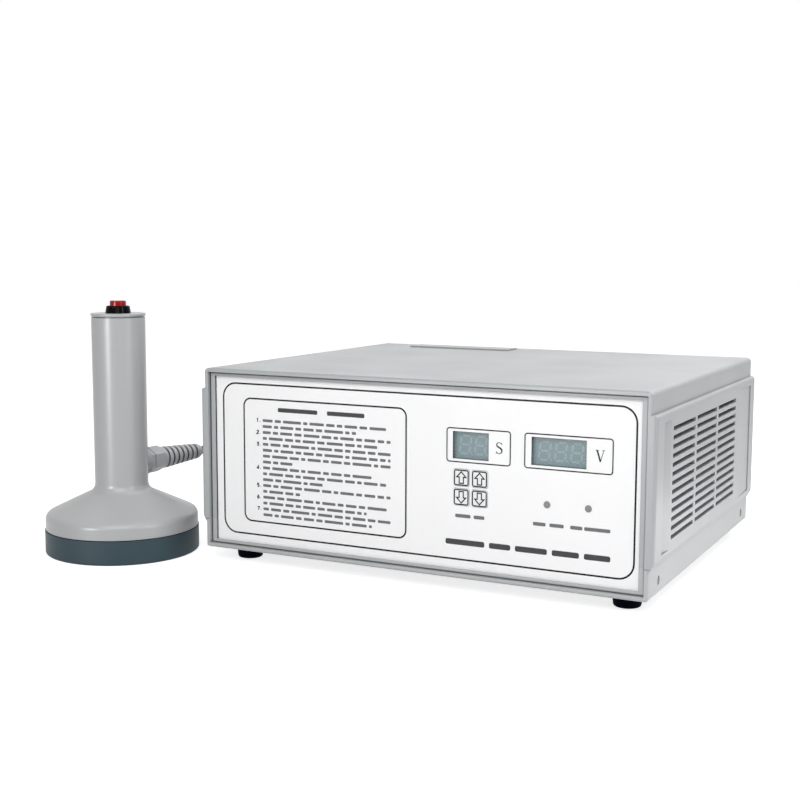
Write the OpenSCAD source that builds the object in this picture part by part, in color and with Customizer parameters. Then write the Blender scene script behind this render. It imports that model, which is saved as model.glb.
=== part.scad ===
// Hand-held induction cap sealer: a generator case and a sealing head joined by a flexible lead.
// All sizes are in millimetres. +X is to the right, +Y to the rear and +Z up.
// Pieces are drawn in the case frame: X = 0 at the middle of the case, Y = 0 at its front face,
// Z = 0 at the standing surface. The whole is then moved so that its origin is at the middle of
// the footprint of case and head.

/* [Case] */
// Width of the case between its plain side walls
case_w = 352.5; // [320:0.5:420]
// Depth of the case from front face to rear face
case_d = 300; // [290:1:360]
// Height of the case without its feet
case_h = 140; // [134:1:170]
// Wall thickness of the moulded shells
wall = 3; // [2.5:0.1:3.6]
// Height of the seam between tray and cover above the underside of the case
seam_h = 22.3; // [19:0.1:26]
// Radius of the long edges along the top
top_edge_r = 4.5; // [3:0.5:8]
// Radius of the long edges along the underside
low_edge_r = 3; // [1.5:0.5:4]
// Radius of the edges around the front face
front_edge_r = 1.5; // [1:0.25:2.5]
// Radius of the edges around the rear face
rear_edge_r = 2.5; // [2:0.5:6]
// Height of the seam line cut into the tray's upper edge
seam_line_h = 0.4; // [0.2:0.1:1]
// Depth of the seam line
seam_line_d = 0.4; // [0.2:0.1:1]

/* [Front frame] */
// Width of the outer lip around the front
lip_w = 3.2; // [2.5:0.1:3.5]
// How far the lip stands ahead of the band inside it
step_d = 3; // [2:0.1:3.2]
// Width of the groove along the foot of the lip
groove_w = 0.9; // [0.6:0.1:1.2]
// Depth of the groove behind the band's face
groove_d = 1.2; // [0.8:0.1:1.5]
// Width of the band between the groove and the panel's left and right edges
band_w = 3.4; // [2.8:0.1:4]
// Width of the band between the groove and the panel's upper and lower edges
band_h = 2; // [2:0.1:4]
// Distance from the front face to the panel slot
frame_t = 4.2; // [4.2:0.1:6]
// Depth of the frame behind the panel slot
slot_rib_t = 2; // [1.5:0.1:3]
// How deep the panels sit in their slots
slot_grip = 1.8; // [1.5:0.1:2]

/* [Side panels] */
// How far each side panel stands proud of the wall
side_proud = 3.5; // [2.5:0.5:5]
// Distance from the top of the case down to the top edge of the side panel
side_drop = 15.5; // [12:0.5:20]
// Height of the slope under the side panel
side_flare = 6; // [3:0.5:6]
// How far below the seam that slope begins
flare_low = 2; // [1:0.5:3]
// Radius of the side panel's front and rear edges
side_edge_r = 2.5; // [1:0.5:3.5]
// Distance from the front and rear faces to the grip notches
grip_inset = 17; // [14:0.5:17]
// Length of the front grip notch along the case
grip_front_len = 18; // [10:0.5:18]
// Length of the rear grip notch along the case
grip_rear_len = 44; // [20:0.5:46]
// Depth of the front grip notch
grip_front_d = 2.2; // [1:0.1:2.4]
// Depth of the rear grip notch
grip_rear_d = 0.8; // [0.6:0.1:2.4]
// Margin of the grip notches below and above
grip_margin = 6.5; // [6:0.5:12]

/* [Side vents] */
// Rows of slots
vent_rows = 13; // [6:1:13]
// Columns of slots
vent_columns = 3; // [1:1:3]
// Length of one slot
vent_len = 59.5; // [40:0.5:60]
// Height of one slot
vent_h = 3; // [2:0.25:4]
// Spacing of the rows
vent_row_pitch = 6.24; // [5.5:0.02:6.5]
// Spacing of the columns
vent_column_pitch = 64.5; // [62:0.5:66]
// Distance from the front face to the first slot
vent_front = 40; // [38:0.5:44]
// Height of the middle row above the middle of the side panel
vent_lift = 0.4; // [-1:0.1:2]
// Thickness of the thinned wall around the vents
vent_wall = 4.8; // [3:0.1:5.4]
// Margin of the thinned wall around the vents
vent_margin = 4; // [3:0.5:5]

/* [Top pad] */
// Length of the bare raised pad at the rear of the top
pad_w = 98; // [60:1:120]
// Depth of the pad
pad_d = 22; // [15:1:30]
// Height of the pad
pad_t = 1.2; // [0.5:0.1:2]
// Distance of the pad's middle to the left of the case's middle
pad_left = 82; // [60:1:100]
// Distance from the rear face to the pad
pad_rear = 14; // [10:1:20]

/* [Feet] */
// Height of the rubber feet
foot_h = 11.5; // [8:0.5:15]
// Radius of a foot at its top
foot_r = 11; // [9:0.5:13]
// How much narrower a foot is at its bottom
foot_taper = 1.2; // [0.5:0.1:2]
// Radius of the rounded bottom edge of a foot
foot_edge_r = 2; // [1:0.5:3]
// Distance of the feet from the sides
foot_side = 22.25; // [18:0.25:30]
// Distance of the feet from the front and rear faces
foot_inset = 28; // [24:1:40]

/* [Screws] */
// Shank radius of the small screws
screw_r = 1.45; // [1.2:0.05:1.6]
// Head radius of the small screws
screw_head_r = 2.9; // [2.6:0.1:3.2]
// Head height of the small screws
screw_head_h = 1.6; // [1.2:0.1:2]
// Radial clearance of a screw in its hole
screw_gap = 0.1; // [0.05:0.01:0.2]
// Height of the tray side screws above the underside of the case
side_screw_up = 10; // [9:0.5:11]
// Distance of the tray side screws from the front and rear faces
side_screw_inset = 24; // [20:1:30]
// How deep the side screws lie below the wall
screw_sink = 0.6; // [0.2:0.1:0.8]

/* [Panels] */
// Thickness of the front and rear panel plates
plate_t = 2; // [1.5:0.1:2.2]
// Thickness of the printed film on the front panel
film_t = 0.4; // [0.2:0.05:0.5]
// Shadow gap between the front frame and the film
film_gap = 0.9; // [0.3:0.1:1.2]
// Gap at both ends of the film
film_side_gap = 0.3; // [0.1:0.05:0.5]
// Clearance of the panels in their slots
slot_gap = 0.3; // [0.2:0.05:0.4]
// Depth of the rear panel behind the rear face
rear_recess = 10; // [9.5:0.5:12]

/* [Displays] */
// Height of the display windows
window_h = 19.5; // [16:0.5:21]
// Width of the two-digit window
time_window_w = 27.5; // [24:0.5:30]
// Width of the three-digit window
volt_window_w = 39.5; // [36:0.5:42]
// Distance of the two-digit window to the right of the panel's middle
time_window_x = 45.8; // [44:0.1:48]
// Distance of the three-digit window to the right of the panel's middle
volt_window_x = 110.8; // [108:0.1:114]
// Height of the windows above the panel's middle
window_up = 24.5; // [23:0.5:28]
// Margin by which a window pane overlaps its opening
pane_lap = 2; // [1.5:0.25:2.5]
// How far a window pane's face lies behind the panel film
pane_sink = 0.8; // [0.4:0.1:1.2]
// Thickness of a window pane
pane_t = 1.5; // [1:0.1:2]
// Depth of the digit displays
display_t = 8.5; // [6:0.5:8.5]

/* [Time keys] */
// Width and height of a key
key_size = 12; // [10:0.25:12.5]
// Corner radius of a key
key_corner_r = 1.4; // [0.8:0.1:2]
// Spacing of the keys
key_pitch = 13.9; // [13.8:0.1:15]
// Distance of the key group to the right of the panel's middle
keys_x = 46.1; // [44:0.1:48]
// Height of the key group below the panel's middle
keys_down = 5.4; // [5.2:0.1:8]
// How far a key stands proud of the film
key_proud = 0.6; // [0.6:0.1:1.2]
// Travel of a key
key_travel = 0.5; // [0.3:0.1:0.5]
// Clearance around a key in its opening
key_gap = 0.3; // [0.2:0.05:0.4]
// Radius of a key's stem
key_stem_r = 2; // [1.5:0.1:2.5]
// Width and height of a key switch
tact_size = 6; // [5:0.5:7]
// Radius of a key switch's plunger
tact_r = 1.7; // [1.2:0.1:2]

/* [Alarm lamps] */
// Radius of a lamp lens
lamp_r = 2.4; // [2:0.1:3]
// Distance of the first lamp to the right of the panel's middle
heat_lamp_x = 103; // [100:0.5:106]
// Distance of the second lamp to the right of the panel's middle
current_lamp_x = 132.5; // [126:0.5:134]
// Height of the lamps below the panel's middle
lamps_down = 11.9; // [10:0.1:16]

/* [Display board] */
// Width of the display board
board_w = 120; // [116:1:124]
// Height of the display board
board_h = 74; // [72:1:78]
// Distance of the display board to the right of the panel's middle
board_x = 85; // [83:0.5:87]
// Height of the display board above the panel's middle
board_up = 8; // [7:0.5:9]
// Thickness of the circuit boards
board_t = 1.6; // [1.2:0.1:2]
// Distance of the display board behind the front panel
board_back = 10.5; // [10:0.1:12]
// Radius of a board spacer
spacer_r = 2.5; // [2.2:0.1:3]
// Radius of the alarm buzzer
buzzer_r = 6; // [5:0.5:7]

/* [Fan] */
// Width and height of the fan
fan_size = 80; // [70:1:84]
// Depth of the fan
fan_t = 25; // [20:1:28]
// Spacing of the fan's screw holes
fan_pitch = 71.5; // [62:0.5:72]
// Distance of the fan to the right of the case's middle
fan_x = -5; // [-12:1:2]
// Radius of the rotor's hub
hub_r = 17; // [14:0.5:19]
// Count of fan blades
fan_blades = 7; // [5:1:9]
// Radius of the rotor's shaft
shaft_r = 1.5; // [1:0.1:2]
// Running clearance of the shaft
shaft_gap = 0.05; // [0.02:0.01:0.1]
// Clearance between the blades and the fan's duct
blade_gap = 1; // [0.6:0.1:1.5]
// Radius of the wire of the fan guard
wire_r = 0.9; // [0.7:0.1:1.2]

/* [Power switch] */
// Distance of the power switch to the right of the case's middle
switch_x = 125; // [120:1:132]
// Width of the rocker
rocker_w = 10; // [8:0.5:11]
// Height of the rocker
rocker_h = 14.8; // [13:0.2:15]
// Tilt of the rocker to each side
rocker_tilt = 9; // [6:1:10]
// Radius of the rocker's pivot pins
pivot_r = 1.5; // [1:0.1:1.8]
// Running clearance of the pivot pins
pivot_gap = 0.05; // [0.02:0.01:0.1]

/* [Mains inlet] */
// Distance of the mains inlet to the right of the case's middle
inlet_x = 80; // [76:1:84]
// Width of the inlet's socket
socket_w = 24.5; // [24:0.1:25]
// Height of the inlet's socket
socket_h = 17; // [16.4:0.1:17.5]
// Depth of the inlet's socket
socket_d = 16.5; // [16:0.1:18]
// Length of the inlet's pins
pin_len = 11; // [9:0.5:11]
// Spacing of the inlet's screws
inlet_pitch = 40; // [38:0.5:42]

/* [Fuse holder] */
// Distance of the fuse holder to the right of the case's middle
fuse_x = 80; // [72:1:88]
// Height of the fuse holder above the panel's middle
fuse_up = 32; // [28:1:36]
// Radius of the fuse cap
fuse_cap_r = 6.5; // [5.5:0.1:7]
// Radius of the fuse link
fuse_r = 2.5; // [2:0.1:2.6]

/* [Lead glands] */
// Distance across the flats of the gland's hexagons
gland_af = 19; // [17:0.5:20]
// Radius of the gland's threaded stem
gland_stem_r = 7.6; // [6.5:0.1:7.8]
// Length of the gland body's hexagon
gland_hex_l = 5; // [4:0.5:10]
// Length of the gland nut's hexagon
nut_hex_l = 12; // [7:0.5:13]
// Length of the collar behind the ribs
nut_collar_l = 4; // [3:0.5:5]
// Spacing of the ribs
rib_pitch = 6.1; // [5:0.1:6.5]
// Length of one groove between the ribs
rib_groove = 2.4; // [1:0.1:2.6]
// Depth of the grooves
rib_d = 2; // [1.2:0.1:2.2]
// Bevel on the edges of the ribs
rib_edge = 0.5; // [0.4:0.1:1]
// Radius of the first rib
rib_r = 9; // [8:0.1:9.2]
// Radius of the nut's tip
tip_r = 6.2; // [5.5:0.1:7]
// Length of the nut's plain tip
tip_l = 3; // [2:0.5:4]
// Ribs on the head's gland
head_ribs = 7; // [4:1:7]
// Ribs on the case's gland
rear_ribs = 3; // [2:1:3]
// Distance of the case's gland to the left of the case's middle
rear_gland_left = 95; // [90:1:100]
// Height of the case's gland below the panel's middle
rear_gland_down = 35.5; // [30:0.5:38]

/* [Power parts] */
// Width of the power board
power_w = 230; // [200:1:240]
// Depth of the power board
power_d = 165; // [150:1:180]
// Distance from the front face to the power board
power_front = 60; // [50:1:70]
// Height of the posts under the power board
post_h = 8; // [6:0.5:12]
// Radius of the posts
post_r = 4; // [3.5:0.1:5]
// Width of the heat sink
sink_w = 80; // [60:1:100]
// Depth of the heat sink
sink_d = 110; // [90:1:120]
// Height of the heat sink
sink_h = 42; // [30:1:60]
// Count of heat sink fins
sink_fins = 11; // [7:1:13]
// Radius of a bus capacitor
cap_r = 17; // [12:0.5:18]
// Height of a bus capacitor
cap_h = 45; // [35:1:55]
// Outer radius of the matching transformer
toroid_r = 33; // [26:0.5:36]
// Height of the matching transformer
toroid_h = 28; // [20:1:34]

/* [Sealing head] */
// Clear distance between the head and the side of the case
head_gap = 19.5; // [18:0.1:40]
// Distance of the head's middle behind the front face of the case
head_setback = 2; // [-5:0.5:8]
// Radius of the head's base
base_r = 61; // [55:0.1:70]
// Height of the head's base
base_h = 19.1; // [17:0.1:22]
// Thickness of the base's floor
base_floor_t = 3; // [2:0.1:4]
// Radius of the base's lower edge
base_edge_r = 2; // [1:0.25:2.5]
// How far the housing's rim is set in from the base
rim_inset = 0.6; // [0:0.1:1]
// Height of the housing's upright rim above the base
rim_h = 8.4; // [6:0.1:12]
// Radius of the housing's shoulder
shoulder_r = 6; // [4:0.25:8]
// Slope of the housing's cone
cone_slope = 25.6; // [20:0.1:32]
// Radius of the fillet between cone and handle
neck_r = 8; // [5:0.5:12]
// Radius of the handle
tube_r = 21.1; // [19:0.05:24]
// Height of the handle's top above the standing surface
tube_top = 188; // [160:0.5:210]
// Wall thickness of the housing
shell_t = 2.5; // [2:0.1:3]
// Height of the gland on the handle above the standing surface
head_gland_z = 68.5; // [64:0.5:76]
// Turn of the head about its own axis from straight back
head_turn = -6; // [-15:1:0]
// Distance of the gland's seat from the handle's axis
gland_seat = 25; // [24:0.5:27]

/* [Induction coil] */
// Turns of the induction coil
coil_turns = 9; // [6:1:9]
// Radius of the coil's wire
coil_wire_r = 2.4; // [2:0.1:2.4]
// Radius of the coil's inner turn
coil_inner_r = 13; // [10:0.5:14]
// Thickness of the coil carrier
carrier_t = 2; // [1.5:0.1:3]
// Count of ferrite bars
ferrites = 6; // [4:1:8]
// Length of a ferrite bar
ferrite_l = 34; // [25:1:36]

/* [Trigger] */
// Thickness of the handle cap
cap_t = 3.2; // [2.5:0.1:4]
// How far the handle cap overhangs the handle
cap_lap = 0.4; // [0.4:0.05:1]
// Depth of the cap's skirt inside the handle
cap_skirt = 8; // [5:0.5:12]
// Height of the button's bezel
bezel_h = 6; // [4:0.25:8]
// Radius of the bezel at its foot
bezel_r = 10.1; // [9.2:0.1:11]
// How much narrower the bezel is at its top
bezel_taper = 0.8; // [0.3:0.1:1.2]
// Radius of the bezel's rounded shoulder
bezel_edge_r = 1.2; // [0.5:0.1:1.4]
// Radius of the bezel's threaded barrel
barrel_r = 7.6; // [7:0.1:7.8]
// Length of the barrel below the cap's top
barrel_l = 18; // [16:0.5:22]
// Radius of the trigger button
button_r = 6.4; // [5:0.05:6.5]
// How far the trigger button stands above its bezel
button_up = 4; // [3:0.1:5]
// Travel of the trigger button
button_travel = 2; // [1:0.1:2.4]
// Clearance around the trigger button
button_gap = 0.3; // [0.2:0.05:0.4]

/* [Lead] */
// Diameter of the lead
lead_dia = 7; // [6:0.5:8]

/* [Hidden] */

$fn = 64;

// Overlap used where a cut must pass through a face
cut = 1;
// General clearance between neighbouring pieces
gap = 0.3;

// Colours
shell_grey = [0.80, 0.80, 0.80];
head_grey = [0.68, 0.69, 0.69];
slate = [0.28, 0.33, 0.36];
panel_white = [0.95, 0.95, 0.95];
display_teal = [0.50, 0.58, 0.60];
lamp_grey = [0.55, 0.55, 0.55];
near_black = [0.08, 0.08, 0.09];
signal_red = [0.75, 0.08, 0.06];
steel = [0.72, 0.72, 0.73];
lead_grey = [0.25, 0.26, 0.27];
board_green = [0.10, 0.35, 0.20];
copper = [0.72, 0.42, 0.22];

// Case frame
border_w = lip_w + groove_w + band_w;
border_h = lip_w + groove_w + band_h;
window_w = case_w - 2 * border_w;
window_open_h = case_h - 2 * border_h;
slot_w = film_gap + film_t + plate_t + slot_gap;
frame_d = frame_t + slot_w + slot_rib_t;
rear_slot_w = plate_t + slot_gap;
rear_frame_d = rear_recess + rear_slot_w + slot_rib_t;
mid_z = foot_h + case_h / 2;
seam_z = foot_h + seam_h;
outer_w = case_w + 2 * side_proud;
side_x = case_w / 2 + side_proud;
side_top = case_h - side_drop;
side_mid = (seam_h + side_top) / 2;
inner_x = case_w / 2 - wall;
floor_z = foot_h + wall;

// Screws and feet
screw_hole_r = screw_r + screw_gap;
screw_cross_l = 1.2 * screw_head_r;
screw_cross_w = 0.22 * screw_head_r;
screw_sink_d = screw_head_h + screw_sink;
side_screw_end = 3;
side_screw_l = wall + side_screw_end;
tab_w = 16;
tab_t = 4;
tab_low = 4;
tab_rise = 14;
foot_screw_r = 1.85;
foot_screw_l = 9;
foot_head_r = 3.4;
foot_head_h = 2.4;
foot_well_r = 5;
foot_well_d = 5;
foot_boss_r = 5;
foot_boss_h = 7;

// Front panel planes
film_y = frame_t + film_gap;
plate_y = film_y + film_t;
plate_back = plate_y + plate_t;
plate_w = window_w + 2 * (slot_grip - slot_gap);
plate_h = window_open_h + 2 * (slot_grip - slot_gap);
film_w = window_w - 2 * film_side_gap;
board_y = plate_back + board_back;
window_z = mid_z + window_up;
lamp_z = mid_z - lamps_down;
board_z = mid_z + board_up;
spacer_margin = 5;
lamp_flange = 0.6;
lamp_flange_t = 1;
lamp_proud = 0.3;
lamp_leg_r = 0.35;
lamp_leg_pitch = 2.54;
buzzer_h = 7;
buzzer_hole_r = 1;
stud_nut_t = 2;
stud_end = 1;

// Keys
key_flange = 1;
key_flange_t = 1;
key_face_y = film_y - key_proud;
tact_t = 4.2;
tact_plunger = 1;
tact_tip_y = board_y - tact_t - tact_plunger;
key_stem_end = tact_tip_y - key_travel - gap;

// Rear panel planes
rear_y = case_d - rear_recess;
rear_in = rear_y - plate_t;

// Fan
fan_rim = 1.8;
fan_open_r = fan_size / 2 - fan_rim;
fan_front = rear_in - fan_t;
fan_corner_r = 4;
fan_hole_r = 2.15;
fan_screw_r = 1.9;
fan_screw_head_r = 3.6;
fan_screw_head_h = 2.2;
fan_screw_short = 2;
motor_t = 4;
strut_w = 4;
rotor_gap = 0.5;
rotor_back = 1.5;
rotor_t = fan_t - motor_t - rotor_gap - rotor_back;
blade_t = 1.6;
blade_pitch = 38;
blade_root = 2;
guard_rings = 4;
guard_plate_t = 1.2;
guard_eye_w = 0.6;

// Power switch
rocker_end_gap = 1.5;
rocker_side_gap = 0.4;
rocker_foot_in = 0.4;
switch_open_h = rocker_h + 2 * rocker_end_gap;
switch_open_w = rocker_w + 2 * rocker_side_gap;
switch_wall = 1.2;
bezel_lap = 1.4;
switch_bezel_t = 2;
switch_d = 14;
rocker_out = 5.2;
rocker_mid_out = 4.2;
rocker_in = 2;
rocker_room = 2.5;
pivot_in = 2.5;
pivot_y = rear_y - pivot_in;
rear_parts_down = 8;
switch_z = mid_z - rear_parts_down;
pin_reach = 0.7;
pin_end_gap = 0.1;

// Mains inlet
inlet_z = mid_z - rear_parts_down;
inlet_flange_end = 4.5;
inlet_flange_side = 3;
inlet_flange_w = inlet_pitch + 2 * inlet_flange_end;
inlet_flange_h = socket_h + 2 * inlet_flange_side;
inlet_flange_t = 2.5;
inlet_corner_r = 3;
socket_corner_r = 2;
socket_y = rear_y + inlet_flange_t - socket_d;
inlet_screw_end = 3;
inlet_wall = 1.6;
inlet_floor_t = 2;
pin_w = 2;
pin_h = 4;
pin_side = 7;
pin_drop = 2;
pin_tail = 6;

// Fuse holder
fuse_z = mid_z + fuse_up;
fuse_rim = 1.5;
fuse_wall = 1.4;
fuse_flange_r = fuse_cap_r + fuse_rim;
fuse_flange_t = 3;
fuse_body_r = fuse_cap_r - gap;
fuse_body_l = 30;
fuse_bore_r = fuse_body_r - fuse_wall;
fuse_bore_l = 24;
fuse_stem_r = fuse_bore_r - gap;
fuse_stem_l = 4;
fuse_cap_t = 5;
fuse_l = 20;
fuse_seat = 1.2;
fuse_fit = 0.02;
fuse_slot_w = 1.4;
fuse_slot_d = 1.2;

// Glands
gland_corner_r = gland_af / 2 / cos(30);
collar_in = 0.1;
collar_r = gland_af / 2 - collar_in;
nut_edge = 0.4;
nut_turn = 30;
nut_seam_h = 0.6;
nut_seam_d = 0.7;
tip_edge = 1;
rear_gland_x = -rear_gland_left;
rear_gland_z = mid_z - rear_gland_down;
locknut_t = 5;
rear_stem_end = 2;
rear_stem_l = plate_t + locknut_t + rear_stem_end;
head_stem_l = 11;
lead_gap = 0.2;
gland_bore_r = lead_dia / 2 + lead_gap;
function nut_len(ribs) = nut_hex_l + nut_collar_l + ribs * rib_pitch + tip_l;

// Power board and what stands on it
power_y = power_front + power_d / 2;
power_z = floor_z + post_h;
board_top = power_z + board_t;
post_inset = 8;
power_screw_short = 1.5;
sink_x = 55;
sink_base_t = 6;
sink_fin_t = 2.2;
transistor_w = 16;
transistor_h = 21;
transistor_t = 5;
cap_x = -70;
cap_rear = 8;
cap_spacing = 2.4 * cap_r;
toroid_x = -55;
toroid_bore_r = toroid_r / 2.6;
toroid_edge_r = 5;
toroid_front = 6;

// Sealing head
head_x = -side_x - head_gap - base_r;
head_y = head_setback;
rim_r = base_r - rim_inset;
rim_z = base_h + rim_h;
base_wall = 3;
ledge_w = 1.6;
coil_lift = 0.05;
coil_room = 0.4;
coil_bond = 0.2;
ledge_z = base_floor_t + 2 * coil_wire_r + coil_room;
arc_steps = 8;
boss_rim = 2;
boss_r = gland_af / 2 + boss_rim;
stem_gap = 0.05;
carrier_hole_r = 8;
ferrite_w = 10;
ferrite_t = 4;
ferrite_in = 13;
coil_pitch = 2 * coil_wire_r - coil_bond;
cap_seam_h = 0.8;
cap_seam_d = 1.2;
cap_flare_h = 1.2;
cap_edge = 0.4;
cap_skirt_t = 2.4;
cap_skirt_gap = 0.15;
cap_top = tube_top + cap_t;
bezel_top = cap_top + bezel_h;
barrel_gap = 0.1;
bore_r = button_r + button_gap;
barrel_floor = 2.2;
button_locknut_t = 4;
button_locknut_rim = 2.5;
button_top = bezel_top + button_up;
button_edge_r = 1;
button_foot_gap = 0.5;
button_foot = cap_top - barrel_l + barrel_floor + button_travel + button_foot_gap;

// Lead: its coil lies flat behind the case, and its route is a list of chosen points
lead_r = lead_dia / 2;
lead_sides = 10;
coil_flat = 0.01;
coil_mid_r = 38.5;
lead_coil_x = -133.5;
lead_coil_y = 345;
lead_coil_low = 1;
lead_coil_high = 27.8;
tie_t = 0.7;
tie_w = 8;
tie_turn = 250;
head_tip = gland_seat + gland_hex_l + nut_len(head_ribs);
head_tip_at = [head_x - head_tip * sin(head_turn), head_y + head_tip * cos(head_turn), head_gland_z];
head_route = concat([head_tip_at], [
    [-249.2, 107, 67.9], [-247.2, 124, 64.4], [-244.6, 141, 56.6], [-241.8, 157, 45.2],
    [-238.8, 173, 32.2], [-235.5, 189, 20.4], [-232, 206, 11], [-228.6, 224, 5.6],
    [-225.6, 243, 3.8], [-223, 263, 3.6], [-220.4, 283, 3.6], [-216, 303, 3.6],
    [-209, 322, 3.6], [-199, 339.5, 3.7], [-185.8, 354.5, 3.9], [-170, 367, 4.1],
    [-152.8, 378.3, 4.5]
]);
rear_tip_at = [rear_gland_x, rear_y + gland_hex_l + nut_len(rear_ribs), rear_gland_z];
tail_route = concat([rear_tip_at], [
    [-95, 345, 45.2], [-98.6, 361.3, 42.8], [-108.8, 374.5, 38.8], [-123.5, 382.2, 34.4],
    [-140.2, 382.9, 30.4], [-155.6, 376.5, 27.2], [-166.8, 364.3, 25], [-172, 345, 24.4]
]);

// Origin of the part: the middle of the footprint of case and head
origin_x = (head_x - base_r + side_x) / 2;
origin_y = (min(0, head_y - base_r) + case_d) / 2;

module placed() {
    translate([-origin_x, -origin_y, 0]) children();
}

// Section in X and Z drawn out along +Y
module along_y(len) {
    translate([0, len, 0]) rotate([90, 0, 0]) linear_extrude(len) children();
}

// Section in Y and Z drawn out along X, middle at X = 0
module along_x(len) {
    translate([-len / 2, 0, 0]) rotate([90, 0, 90]) linear_extrude(len) children();
}

// Turns a piece drawn up the Z axis to point along +Y
module facing_rear() {
    rotate([-90, 0, 0]) children();
}

// Rectangle from X = 0 to len, with radius r0 on the corners at 0 and r1 on those at len
module end_rounded(len, w, r0, r1) {
    translate([r0, -w / 2]) square([len - r0 - r1, w]);
    translate([0, r0 - w / 2]) square([2 * r0, w - 2 * r0]);
    translate([len - 2 * r1, r1 - w / 2]) square([2 * r1, w - 2 * r1]);
    for (s = [-1, 1]) {
        translate([r0, s * (w / 2 - r0)]) circle(r0);
        translate([len - r1, s * (w / 2 - r1)]) circle(r1);
    }
}

module round_rect(w, h, r) {
    translate([-w / 2, 0]) end_rounded(w, h, r, r);
}

module box(x, y, z, w, d, h) {
    translate([x, y, z]) cube([w, d, h]);
}

// Box centred on X, starting at y and z
module mid_box(y, z, w, d, h) {
    box(-w / 2, y, z, w, d, h);
}

module mirror_x() {
    children();
    mirror([1, 0, 0]) children();
}

module hexagon(af, len) {
    cylinder(r = af / 2 / cos(30), h = len, $fn = 6);
}

// Plain case block with all its edges rounded, underside at Z = 0
module case_block() {
    intersection() {
        along_y(case_d) rotate(90) end_rounded(case_h, case_w, low_edge_r, top_edge_r);
        along_x(case_w) translate([0, case_h / 2])
            end_rounded(case_d, case_h, front_edge_r, rear_edge_r);
        linear_extrude(case_h) rotate(90) end_rounded(case_d, case_w, front_edge_r, rear_edge_r);
    }
}

module side_section() {
    x0 = case_w / 2 - wall;
    flare_z = seam_h - flare_low;
    polygon([
        [x0, flare_z], [case_w / 2, flare_z], [side_x, flare_z + side_flare],
        [side_x, side_top - side_proud], [x0, side_top - side_proud]
    ]);
    translate([case_w / 2, side_top - side_proud]) circle(side_proud);
}

// Raised panels on both sides of the case
module side_panels() {
    intersection() {
        mirror_x() along_y(case_d) side_section();
        linear_extrude(case_h) rotate(90) end_rounded(case_d, outer_w, side_edge_r, side_edge_r);
    }
}

module panel_slot(y, w) {
    mid_box(y, border_h - slot_grip, window_w + 2 * slot_grip, w, window_open_h + 2 * slot_grip);
}

// Step behind the front lip, with a groove along its foot
module front_step() {
    inset = lip_w + groove_w;
    deep = step_d + groove_d;
    mid_box(-cut, lip_w, case_w - 2 * lip_w, step_d + cut, case_h - 2 * lip_w);
    difference() {
        mid_box(0, lip_w, case_w - 2 * lip_w, deep, case_h - 2 * lip_w);
        mid_box(-cut, inset, case_w - 2 * inset, deep + 2 * cut, case_h - 2 * inset);
    }
}

// Room inside the shells, with the panel openings and slots
module case_room() {
    mid_box(frame_d, wall, 2 * inner_x, case_d - frame_d - rear_frame_d, case_h - 2 * wall);
    mid_box(-cut, border_h, window_w, case_d + 2 * cut, window_open_h);
    panel_slot(frame_t, slot_w);
    panel_slot(rear_y - rear_slot_w, rear_slot_w);
    front_step();
}

module vent_slots() {
    low = side_mid + vent_lift - (vent_rows - 1) / 2 * vent_row_pitch - vent_h / 2;
    for (c = [0 : vent_columns - 1], r = [0 : vent_rows - 1])
        box(inner_x - cut, vent_front + c * vent_column_pitch, low + r * vent_row_pitch,
            wall + side_proud + 2 * cut, vent_len, vent_h);
}

// Thinned wall behind the vents
module vent_pocket() {
    span = (vent_columns - 1) * vent_column_pitch + vent_len;
    rise = (vent_rows - 1) * vent_row_pitch + vent_h;
    box(inner_x - cut, vent_front - vent_margin, side_mid + vent_lift - rise / 2 - vent_margin,
        wall + side_proud - vent_wall + cut, span + 2 * vent_margin, rise + 2 * vent_margin);
}

// Ramp into the side panel, deepest at Y = 0
module grip_notch(len, d) {
    translate([0, 0, seam_h + grip_margin])
        linear_extrude(side_top - seam_h - 2 * grip_margin)
            polygon([[side_x + cut, 0], [side_x - d, 0], [side_x, len], [side_x + cut, len]]);
}

module grip_notches() {
    translate([0, grip_inset, 0]) grip_notch(grip_front_len, grip_front_d);
    translate([0, case_d - grip_inset, 0]) mirror([0, 1, 0]) grip_notch(grip_rear_len, grip_rear_d);
}

module side_screw_places() {
    for (s = [0, 1], y = [side_screw_inset, case_d - side_screw_inset])
        mirror([s, 0, 0]) translate([case_w / 2, y, foot_h + side_screw_up]) rotate([0, -90, 0]) children();
}

module foot_places() {
    for (x = [-1, 1], y = [foot_inset, case_d - foot_inset])
        translate([x * (case_w / 2 - foot_side), y, 0]) children();
}

module power_post_places() {
    for (x = [-1, 1], y = [-1, 1])
        translate([x * (power_w / 2 - post_inset), power_y + y * (power_d / 2 - post_inset), 0]) children();
}

// Tab inside the cover that takes one side screw
module cover_tab(y) {
    box(inner_x - gap - tab_t, y - tab_w / 2, tab_low, tab_t, tab_w, seam_h + tab_rise - tab_low);
    box(inner_x - gap - tab_t, y - tab_w / 2, seam_h + gap, tab_t + gap + cut, tab_w, tab_rise - gap);
}

module top_cover() {
    color(shell_grey) difference() {
        translate([0, 0, foot_h]) union() {
            difference() {
                intersection() {
                    union() {
                        case_block();
                        side_panels();
                    }
                    mid_box(-cut, seam_h, 2 * outer_w, case_d + 2 * cut, case_h);
                }
                case_room();
                mirror_x() vent_pocket();
                mirror_x() vent_slots();
                mirror_x() grip_notches();
            }
            mirror_x() for (y = [side_screw_inset, case_d - side_screw_inset]) cover_tab(y);
            box(-pad_left - pad_w / 2, case_d - pad_rear - pad_d, case_h - wall, pad_w, pad_d, wall + pad_t);
        }
        side_screw_places() cylinder(r = screw_hole_r, h = side_screw_l + 2 * cut);
    }
}

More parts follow.
